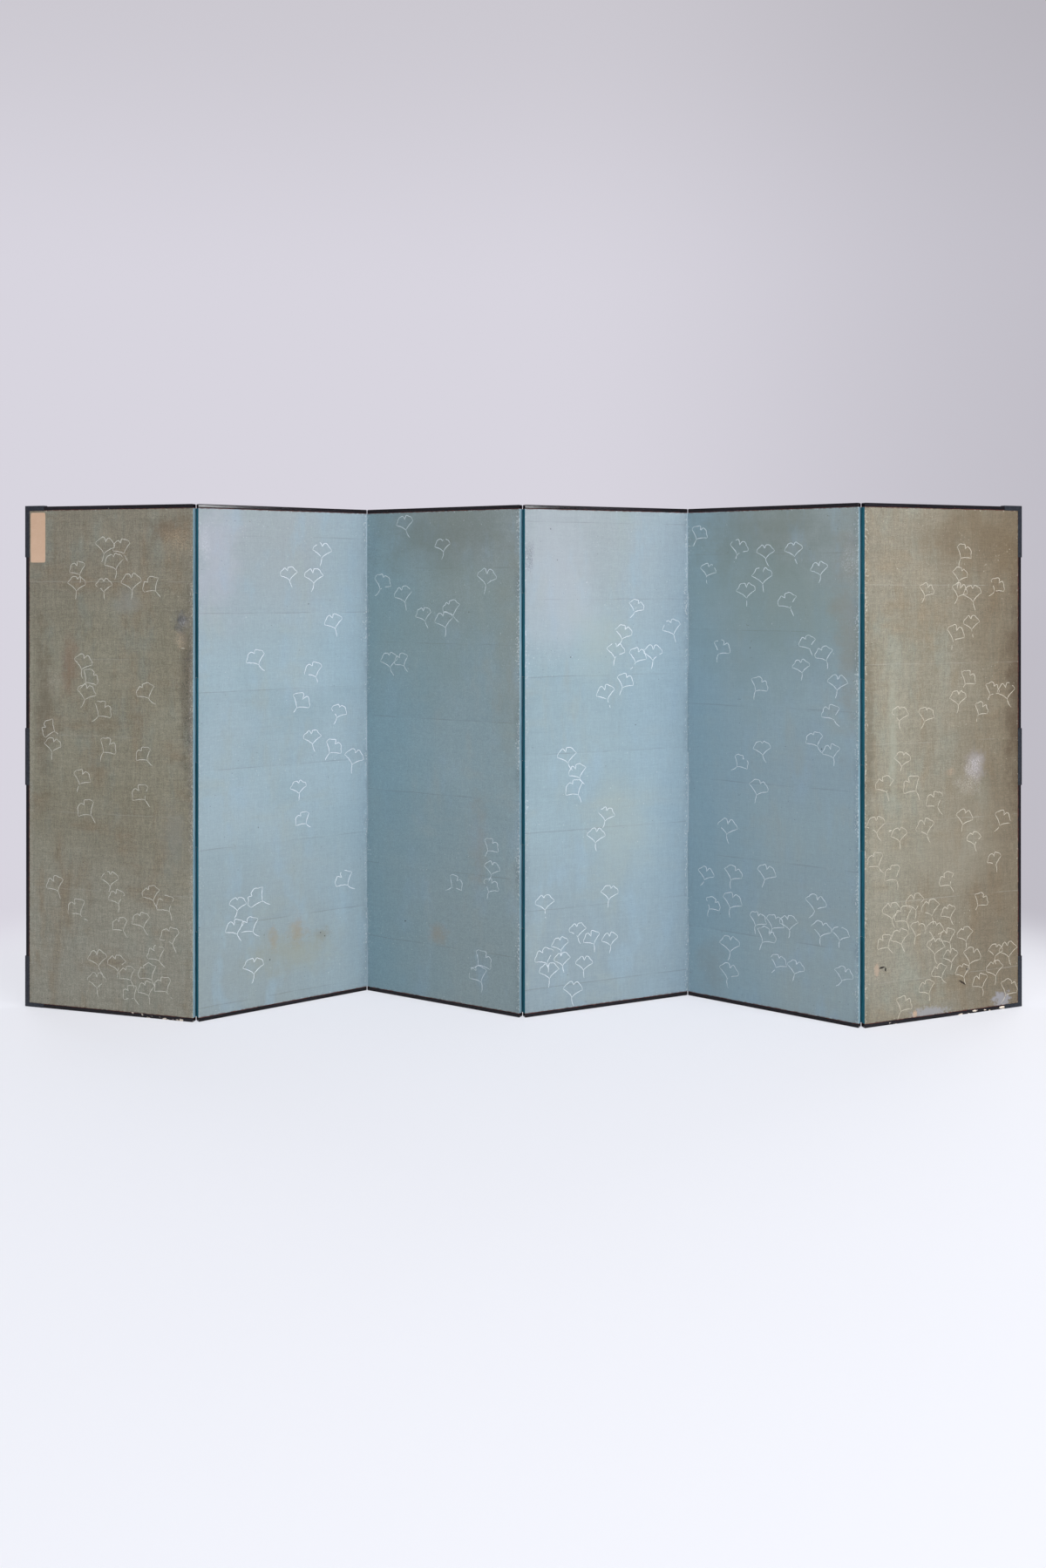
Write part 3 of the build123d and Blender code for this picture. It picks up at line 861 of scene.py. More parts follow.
def grid_rim(across: int, rows: int) -> list[int]:
    """The points round a grid, once round from its first corner.

    Args:
        across: Points in a row.
        rows: Rows.

    Returns:
        Their numbers.
    """
    rim = list(range(across))
    rim += [i * across + across - 1 for i in range(1, rows)]
    rim += [(rows - 1) * across + j for j in range(across - 2, -1, -1)]
    return rim + [i * across for i in range(rows - 2, 0, -1)]


def steps(start: float, end: float, largest: float) -> list[float]:
    """Even stops from start to end, no further apart than largest.

    Args:
        start: The first stop.
        end: The last stop.
        largest: The longest step.

    Returns:
        The stops, both ends included.
    """
    count = max(1, math.ceil((end - start) / largest - 1e-9))
    return [start + (end - start) * i / count for i in range(count + 1)]


# ---------------------------------------------------------------- a panel's place
@dataclass
class PanelPlace:
    """Where a panel stands and what its two long edges are."""

    number: int
    matrix: Matrix
    width: float
    rail_left: bool
    rail_right: bool

    @classmethod
    def read(cls, number: int) -> "PanelPlace":
        """Read the place of a panel from the lowest corners of its painting.

        Args:
            number: The panel's number, from 1.

        Returns:
            Its place.
        """
        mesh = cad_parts[f"panel_{number}_painting"].data
        corners = np.array([v.co for v in mesh.vertices], float)
        lowest = corners[corners[:, 2] < corners[:, 2].min() + MM]
        left, right = (
            min((p for p in lowest if abs(p[0] - side) < 0.5 * MM), key=lambda p: p[1])
            for side in (lowest[:, 0].min(), lowest[:, 0].max())
        )
        along = Vector(right - left)
        width = along.length
        along.normalize()
        back = Vector((-along.y, along.x, 0))
        origin = Vector((left[0], left[1], 0)) + back * HALF_DEPTH
        matrix = Matrix.Translation(origin) @ Matrix((along, back, (0, 0, 1))).transposed().to_4x4()
        return cls(number, matrix, width, number == 1, number == PANELS)

    @property
    def body(self) -> str:
        """The CAD body that the panel's pieces ride on."""
        return f"panel_{self.number}"

    def edges(self, u: float, z: float) -> Point:
        """How far a point is from the panel's edges.

        Args:
            u: Its place along the panel.
            z: Its height.

        Returns:
            The distances to the left fold, the right fold and the nearest rail; far off where there is none.
        """
        side = u if self.rail_left else self.width - u if self.rail_right else NO_FOLD
        rail = min(side, z - SHEET_BOTTOM, SHEET_TOP - z)
        return (NO_FOLD if self.rail_left else u, NO_FOLD if self.rail_right else self.width - u, rail)


# ---------------------------------------------------------------- paper sheets
@dataclass
class Cockle:
    """The slight waves of paper stretched over a lattice, always outwards and still at its edges."""

    seed: int
    height: float = 0.30 * MM
    waves: int = 7
    still_border: float = 30.0 * MM

    def __post_init__(self) -> None:
        """Draw the waves."""
        draw = random.Random(self.seed)
        self.terms = [
            (draw.uniform(1.5, 8.0), draw.uniform(0.8, 5.0), draw.uniform(0, math.tau))
            for _ in range(self.waves)
        ]

    def at(self, panel: PanelPlace, u: float, z: float) -> float:
        """How far the paper stands out at a point.

        Args:
            panel: The panel.
            u: Along it.
            z: Up it.

        Returns:
            The height in metres.
        """
        wave = sum(math.sin(math.tau * (a * u + b * z) + c) for a, b, c in self.terms) / self.waves
        still = min(1.0, min(u, panel.width - u, z - SHEET_BOTTOM, SHEET_TOP - z) / self.still_border)
        return self.height * (0.5 + 0.5 * wave) * max(0.0, still)


class Face(Enum):
    """The two faces of a panel, as the sign of W."""

    FRONT = -1
    BACK = 1


@dataclass
class PaperSheet:
    """A face's paper: one thin closed sheet from fold to fold, rounded over at its long edges."""

    panel: PanelPlace
    face: Face
    cockle: Cockle
    grid: float = 9.0 * MM
    roll: float = 0.4 * MM
    roll_share: float = 0.6
    side_step: float = 3.0 * MM
    end_step: float = 2.0 * MM

    def build(self, name: str, material: Finish) -> Piece:
        """Build the sheet.

        Args:
            name: The piece's name.
            material: Its finish.

        Returns:
            The sheet.
        """
        width = self.panel.width
        border = (0.0, 0.15 * MM, self.roll)
        inner = steps(self.side_step, width - self.side_step, self.grid)
        columns = [*border, *inner, *(width - u for u in reversed(border))]
        inner = steps(SHEET_BOTTOM + self.end_step, SHEET_TOP - self.end_step, self.grid * 1.5)
        rows = [SHEET_BOTTOM, *inner, SHEET_TOP]
        shape = Shape()
        sign = self.face.value
        for z in rows:
            for u in columns:
                roll = max(0.0, self.roll - min(u, width - u)) ** 2 / self.roll * self.roll_share
                w = sign * (HALF_DEPTH - roll + self.cockle.at(self.panel, u, z))
                shape.points.append((u, w, z))
        across = len(columns)
        for i in range(len(rows) - 1):
            for j in range(across - 1):
                a = i * across + j
                quad = (a, a + 1, a + across + 1, a + across)
                shape.faces.append(quad if sign < 0 else quad[::-1])
        rim = grid_rim(across, len(rows))
        start = len(shape.points)
        for index in rim:
            u, _, z = shape.points[index]
            shape.points.append((u, sign * (HALF_DEPTH - PAPER), z))
        for i, index in enumerate(rim):
            k = (i + 1) % len(rim)
            quad = (rim[k], index, start + i, start + k)
            shape.faces.append(quad if sign < 0 else quad[::-1])
        under = tuple(range(start, start + len(rim)))
        shape.faces.append(under[::-1] if sign < 0 else under)
        shape.value("sheet_place", [(u, z, 2.3 * self.panel.number) for u, _, z in shape.points])
        shape.value("sheet_edges", [self.panel.edges(u, z) for u, _, z in shape.points])
        return shape.build(name, self.panel.matrix, material, 60.0)


# ---------------------------------------------------------------- painted leaves
@dataclass(frozen=True)
class Drift:
    """A loose group of fallen leaves: its middle, how far it spreads, its leaves and their lean."""

    u: float
    z: float
    spread_u: float
    spread_z: float
    leaves: int
    lean: float


RIDGE = ((-1.0, -0.15), (-0.55, 0.75), (0.0, 1.0), (0.55, 0.75), (1.0, -0.15))
STRAY_LEAN = 40
RIM_STEPS, SIDE_STEPS, STEM_STEPS = 28, 12, 10
RIM_FROM, RIM_SWEEP, RIM_REACH = 166, 152, 0.52
SCALLOPS, NOTCH_WIDTH = 3.5, 0.045
FAN_BASE, SIDE_HOLLOW, STEM_LENGTH = (0.0, -0.24), 0.034, 0.40


@dataclass
class LeafShower:
    """Outlines of fan-shaped leaves in raised white line, drifting down one panel."""

    panel: PanelPlace
    cockle: Cockle
    drifts: tuple[Drift, ...]
    strays: int
    seed: int
    leaf: float = 70.0 * MM
    line: float = 2.4 * MM
    relief: float = 0.22 * MM
    jitter: float = 0.35 * MM
    border: float = 0.55
    apart: float = 0.74
    tries: int = 900
    broken: float = 0.16

    def build(self, name: str, material: Finish) -> Piece:
        """Paint every leaf.

        Args:
            name: The piece's name.
            material: Its finish.

        Returns:
            The painted lines.
        """
        draw = random.Random(self.seed)
        shape = Shape()
        for u, z, lean in self._places(draw):
            size = self.leaf * draw.uniform(0.86, 1.10)
            turn = math.radians(lean + draw.gauss(0, 13))
            for stroke in self._strokes(draw):
                line = [
                    (
                        u + size * (x * math.cos(turn) - y * math.sin(turn)),
                        z + size * (x * math.sin(turn) + y * math.cos(turn)),
                    )
                    for x, y in stroke
                ]
                self._brush(shape, line, draw)
        return shape.build(name, self.panel.matrix, material, 80.0)

    def _places(self, draw: random.Random) -> list[tuple[float, float, float]]:
        """Choose where the leaves lie, none too near another or off the sheet.

        Args:
            draw: Where the places come from.

        Returns:
            Each leaf's place along and up the panel, and its lean in degrees.
        """
        margin = self.border * self.leaf
        low_u, high_u = margin, self.panel.width - margin
        low_z, high_z = SHEET_BOTTOM + margin, SHEET_TOP - margin
        chosen: list[tuple[float, float, float]] = []

        def place(make: Callable[[], tuple[float, float]], lean: float, count: int) -> None:
            """Add leaves, as many as find room.

            Args:
                make: Draws a place along and up the panel.
                lean: Their lean in degrees.
                count: How many are wanted.
            """
            found = tries = 0
            while found < count and tries < self.tries:
                tries += 1
                u, z = make()
                clear = all(math.hypot(u - a, z - b) > self.apart * self.leaf for a, b, _ in chosen)
                if low_u < u < high_u and low_z < z < high_z and clear:
                    chosen.append((u, z, lean))
                    found += 1

        for d in self.drifts:
            place(lambda d=d: (draw.gauss(d.u, d.spread_u), draw.gauss(d.z, d.spread_z)), d.lean, d.leaves)
        lean = draw.uniform(-STRAY_LEAN, STRAY_LEAN)
        place(lambda: (draw.uniform(low_u, high_u), draw.uniform(low_z, high_z)), lean, self.strays)
        return chosen

    @staticmethod
    def _strokes(draw: random.Random) -> list[list[tuple[float, float]]]:
        """One leaf's brush strokes, in leaf widths: its scalloped rim, the fan's two sides and its stem.

        Args:
            draw: Where its irregularities come from.

        Returns:
            The strokes.
        """
        notch = draw.uniform(0.16, 0.26)
        skew = draw.uniform(-0.05, 0.05)
        scallop = draw.uniform(0.012, 0.028)
        base = FAN_BASE
        rim = []
        for i in range(RIM_STEPS + 1):
            t = i / RIM_STEPS
            angle = math.radians(RIM_FROM - RIM_SWEEP * t)
            reach = RIM_REACH + scallop * math.sin(math.tau * SCALLOPS * t + 40 * skew)
            reach -= notch * math.exp(-(((t - 0.5 - skew) / NOTCH_WIDTH) ** 2))
            rim.append((reach * math.cos(angle), reach * math.sin(angle)))

        def side(corner: tuple[float, float]) -> list[tuple[float, float]]:
            """A side of the fan, a little hollow.

            Args:
                corner: The end of the rim that it runs to from the fan's base.

            Returns:
                Its points.
            """
            line = []
            for i in range(SIDE_STEPS + 1):
                t = i / SIDE_STEPS
                hollow = SIDE_HOLLOW * math.sin(math.pi * t**0.8)
                x = base[0] + (corner[0] - base[0]) * t**1.15
                line.append((x, base[1] + (corner[1] - base[1]) * t + hollow))
            return line

        swing = draw.uniform(-0.20, 0.20)
        stem = []
        for i in range(STEM_STEPS + 1):
            stem.append((swing * (i / STEM_STEPS) ** 2, base[1] - STEM_LENGTH * i / STEM_STEPS))
        return [rim, side(rim[0]), side(rim[-1]), stem]

    def _brush(self, shape: Shape, line: list[tuple[float, float]], draw: random.Random) -> None:
        """Lay one stroke as a low ridge, thick in its middle and broken where it is rubbed.

        Args:
            shape: What it goes in.
            line: The stroke's points along and up the panel.
            draw: Where its irregularities come from.
        """
        count = len(line)
        skip = draw.randrange(count) if draw.random() < self.broken else -count
        run: list[list[Point]] = []
        jitter = [draw.gauss(0, self.jitter) for _ in range(count)]
        for i, (u, z) in enumerate(line):
            if abs(i - skip) <= 1:
                self._close(shape, run)
                run = []
                continue
            before, after = line[max(0, i - 1)], line[min(count - 1, i + 1)]
            du, dz = after[0] - before[0], after[1] - before[1]
            length = math.hypot(du, dz) or 1.0
            side_u, side_z = -dz / length, du / length
            taper = min(1.0, 0.45 + 2.2 * min(i, count - 1 - i) / count)
            half = 0.5 * self.line * taper * draw.uniform(0.82, 1.12)
            u, z = u + side_u * jitter[i], z + side_z * jitter[i]
            ring = []
            for across, height in RIDGE:
                pu, pz = u + side_u * half * across, z + side_z * half * across
                out = self.cockle.at(self.panel, pu, pz) + self.relief * height
                ring.append((pu, -(HALF_DEPTH + out), pz))
            run.append(ring)
        self._close(shape, run)

    @staticmethod
    def _close(shape: Shape, run: list[list[Point]]) -> None:
        """Turn a run of cross lines into a closed strip.

        Args:
            shape: What it goes in.
            run: The cross lines; fewer than two make nothing.
        """
        if len(run) < 2:
            return
        shape.ring_tube(run)
        shape.value("line_place", [(u, z, 0.0) for ring in run for u, _, z in ring])


# ---------------------------------------------------------------- hinges
def strip_span(number: int, gap: float) -> tuple[float, float]:
    """The heights between which one of a fold's paper strips lies.

    Args:
        number: The strip's number from the bottom, from 0.
        gap: The gap between it and the next.

    Returns:
        Its lower and upper ends.
    """
    pitch = (SHEET_TOP - SHEET_BOTTOM) / HINGE_STRIPS
    return SHEET_BOTTOM + number * pitch + gap / 2, SHEET_BOTTOM + (number + 1) * pitch - gap / 2


@dataclass
class HingeEdge:
    """Dyed paper strips one above another on a panel's fold edge."""

    panel: PanelPlace
    on_right: bool
    proud: float = 0.12 * MM
    step: float = 0.07 * MM
    gap: float = 0.25 * MM
    inset: float = 0.1 * MM
    arris: float = 0.5 * MM
    sunk: float = 0.2 * MM
    ripple: float = 0.03 * MM
    grid: tuple[float, float] = (4.0 * MM, 24.0 * MM)

    def build(self, name: str, material: Finish) -> Piece:
        """Build the strips.

        Args:
            name: The piece's name.
            material: Their finish.

        Returns:
            The edge's paper.
        """
        shape = Shape()
        half = HALF_DEPTH - self.inset
        for k in range(HINGE_STRIPS):
            creased = (k % 2 == 0) == self.on_right
            out = self.proud + (self.step if creased else 0.0)
            rings = []
            for z in steps(*strip_span(k, self.gap), self.grid[1]):
                waver = self.ripple * math.sin(41 * z + 2.1 * k + self.panel.number)
                outer = [(out + waver, w) for w in steps(-half + self.arris, half - self.arris, self.grid[0])]
                side = out * 0.5
                section = [(-self.sunk, -half), (side, -half), *outer, (side, half), (-self.sunk, half)]
                rings.append([self._at(a, w, z) for a, w in section])
            if not self.on_right:
                rings = [ring[::-1] for ring in rings]
            shape.ring_tube(rings)
            strip = float(k + self.panel.number * 7)
            shape.value("edge_place", [(strip, z, w) for ring in rings for _, w, z in ring])
        return shape.build(name, self.panel.matrix, material, 50.0)

    def _at(self, out: float, w: float, z: float) -> Point:
        """A point that stands out from the edge."""
        return (self.panel.width + out if self.on_right else -out, w, z)


@dataclass
class CreasePaper:
    """The strips' creases, which cross the fold line by turns from face to edge."""

    left: PanelPlace
    right: PanelPlace
    forward: bool
    lap: float = 3.0 * MM
    thickness: float = 0.22 * MM
    gap: float = 0.6 * MM
    softness: float = 0.4 * MM
    rise: float = 40.0 * MM
    face_lift: float = 0.05 * MM

    def build(self, name: str, material: Finish) -> Piece:
        """Build the creases in the row frame.

        Args:
            name: The piece's name.
            material: Their finish.

        Returns:
            The creases.
        """
        shape = Shape()
        for k in range(HINGE_STRIPS):
            line = self._section(k % 2 == 0)
            rings = [[(x, y, z) for x, y in line] for z in steps(*strip_span(k, self.gap), self.rise)]
            shape.ring_tube(rings)
            shape.value("sheet_place", [(x + k, z, y) for ring in rings for x, y, z in ring])
            inner = [float((i < len(line) // 2) == self.forward) for i in range(len(line))]
            shape.value("inner_side", inner * len(rings))
        return shape.build(name, Matrix.Identity(4), material, 50.0)

    def _section(self, edge_on_left: bool) -> list[tuple[float, float]]:
        """The crease's section in the row frame, seen from above.

        Args:
            edge_on_left: Whether the strip covers the left panel's edge, and else the right one's.

        Returns:
            The section as a closed line.
        """
        sign = 1 if self.forward else -1
        face = sign * (HALF_DEPTH + self.face_lift)
        deep = sign * (HALF_DEPTH - self.lap)
        fold = sign * (HALF_DEPTH + FOLD_OFF)
        width = self.left.width
        if edge_on_left:
            inner = [(self.left, width + self.thickness, deep), (self.left, width + self.thickness, face)]
            outer = [(self.right, 0.0, face), (self.right, self.lap, face)]
        else:
            inner = [(self.left, width - self.lap, face), (self.left, width, face)]
            outer = [(self.right, -self.thickness, face), (self.right, -self.thickness, deep)]
        centre = [self._world(*p) for p in inner]
        centre.append(self._world(self.left, width + FOLD_ALONG, fold))
        centre += [self._world(*p) for p in outer]
        return self._thicken(self._soften(centre))

    @staticmethod
    def _world(panel: PanelPlace, u: float, w: float) -> Vector:
        """A point of a panel in the row frame, in plan."""
        return (panel.matrix @ Vector((u, w, 0))).xy

    def _soften(self, line: list[Vector]) -> list[Vector]:
        """Round the inner corners of a line.

        Args:
            line: Its points.

        Returns:
            The line with three points for each corner.
        """

        def towards(here: Vector, there: Vector) -> Vector:
            """A point a little way from one point to another."""
            return here.lerp(there, min(0.4, self.softness / max(1e-6, (here - there).length)))

        made = [line[0]]
        for before, here, after in zip(line, line[1:], line[2:]):
            middle = (here * 2 + before.lerp(here, 0.8) + after.lerp(here, 0.8)) / 4
            made += [towards(here, before), middle, towards(here, after)]
        made.append(line[-1])
        return made

    def _thicken(self, line: list[Vector]) -> list[tuple[float, float]]:
        """Give a line its thickness.

        Args:
            line: Its points.

        Returns:
            A closed outline.
        """
        sides: tuple[list, list] = ([], [])
        for i, here in enumerate(line):
            run = line[min(i + 1, len(line) - 1)] - line[max(i - 1, 0)]
            normal = Vector((-run.y, run.x)).normalized() * (self.thickness / 2)
            sides[0].append(tuple(here - normal))
            sides[1].append(tuple(here + normal))
        return sides[0] + sides[1][::-1]


# ---------------------------------------------------------------- rails
class EndCut(Enum):
    """How an end of a rail is finished."""

    ROUNDED = "rounded at a fold"
    MITRED = "mitred to its neighbour"


@dataclass
class LacqueredRail:
    """A rail with crowned faces and softened arrises, run along one edge of a panel."""

    length: float
    start: EndCut
    end: EndCut
    at: Callable[[float, float, float], Point]
    flip: bool
    wear: Callable[[float], float]
    seed: int
    bulge: float = 0.8 * MM
    arris: float = 0.9 * MM
    end_radius: float = 3.0 * MM
    lead: float = 18.0 * MM
    tip: float = 0.35 * MM
    near_end: float = 4.0 * MM
    pitch: float = 14.0 * MM
    crown_step: float = 1.4 * MM
    inner_arris: tuple[float, float] = (0.4 * MM, 0.35 * MM)
    slow_sway: float = 0.05 * MM
    quick_sway: float = 0.04 * MM

    def section(self, shrink: float = 0.0) -> list[tuple[float, float]]:
        """The section as (distance from the outer edge, W), closed.

        Args:
            shrink: How far every side is drawn in.

        Returns:
            The section's points.
        """
        width, half = RAIL_WIDTH, HALF_DEPTH
        front = [(shrink, 0.0), (shrink, -half * 0.5), (shrink, -(half - self.arris))]
        for i in (1, 2):
            turn = math.radians(30 * i)
            rise = self.arris * math.sin(turn)
            front.append((self.arris * (1 - math.cos(turn)) + shrink, -(half - self.arris) - rise))
        for h in steps(self.arris, width - self.inner_arris[0], self.crown_step):
            crown = self.bulge * (1 - ((h - width / 2) / (width / 2)) ** 2)
            front.append((h, -(half + crown - shrink)))
        front += [(width, -(half - self.inner_arris[1])), (width, 0.0)]
        back = [(h, -w) for h, w in front[-2:0:-1]]
        return front + back

    def inset(self, cut: EndCut, h: float) -> float:
        """How far short of the rail's full length a line along it ends.

        Args:
            cut: How that end is finished.
            h: The line's distance from the rail's outer edge.

        Returns:
            The distance from the full length.
        """
        if cut is EndCut.MITRED:
            return h
        if h >= self.end_radius:
            return 0.0
        return self.end_radius - math.sqrt(self.end_radius**2 - (self.end_radius - h) ** 2)

    def build(self, name: str, material: Finish) -> Piece:
        """Build the rail.

        Args:
            name: The piece's name.
            material: Its finish.

        Returns:
            The rail.
        """
        draw = random.Random(self.seed)
        phases = [draw.uniform(0, math.tau) for _ in range(2)]
        full, small = self.section(), self.section(self.tip)
        lead = self.lead
        stops = [0.0, self.tip, self.near_end, *steps(lead, self.length - lead, self.pitch)]
        stops += [self.length - self.near_end, self.length - self.tip, self.length]
        shape = Shape()
        rings, places, wears = [], [], []
        for stop in stops:
            tip = stop in (0.0, self.length)
            ring = []
            for h, w in small if tip else full:
                near_start = max(0.0, 1 - stop / lead) * self.inset(self.start, h)
                near_end = max(0.0, 1 - (self.length - stop) / lead) * self.inset(self.end, h)
                along = stop + near_start - near_end
                sway = self.slow_sway * math.sin(9 * along + phases[0])
                sway += self.quick_sway * math.sin(31 * along + phases[1])
                ring.append(self.at(along, h, w + (sway if abs(w) > HALF_DEPTH else 0.0)))
                places.append((along + self.seed, h, w))
                wears.append(self.wear(along))
            rings.append(ring[::-1] if self.flip else ring)
            if self.flip:
                places[-len(ring) :] = places[-len(ring) :][::-1]
        shape.ring_tube(rings)
        shape.value("rail_place", places)
        shape.value("rail_wear", wears)
        return shape.build(name, Matrix.Identity(4), material, 38.0)


# ---------------------------------------------------------------- ironwork
@dataclass
class DomedHeads:
    """Forged nails or tacks with low hammered domes."""

    radius: float
    height: float
    rings: int = 5
    around: int = 20
    rim: float = 0.16
    fullness: float = 0.85
    open_top: float = 0.6

    def head(self, shape: Shape, centre: Vector, out: Vector, draw: random.Random) -> None:
        """Add one head.

        Args:
            shape: What it goes in.
            centre: The middle of its seat.
            out: The way that it faces.
            draw: Where its irregularities come from.
        """
        across = out.orthogonal().normalized()
        up = out.cross(across)
        dents = [draw.uniform(0.93, 1.05) for _ in range(self.around)]
        profile = [(1.0, 0.0), (1.0, self.rim)]
        for i in range(1, self.rings + 1):
            turn = math.radians(90 * i / (self.rings + self.open_top))
            profile.append((math.cos(turn) ** self.fullness, self.rim + (1 - self.rim) * math.sin(turn)))
        made = []
        for reach, rise in profile:
            ring = []
            for j in range(self.around):
                angle = math.tau * j / self.around
                r = self.radius * reach * (1 + (dents[j] - 1) * reach)
                spot = centre + across * (r * math.cos(angle)) + up * (r * math.sin(angle))
                ring.append(tuple(spot + out * (self.height * rise)))
            made.append(ring)
        shape.ring_tube(made)


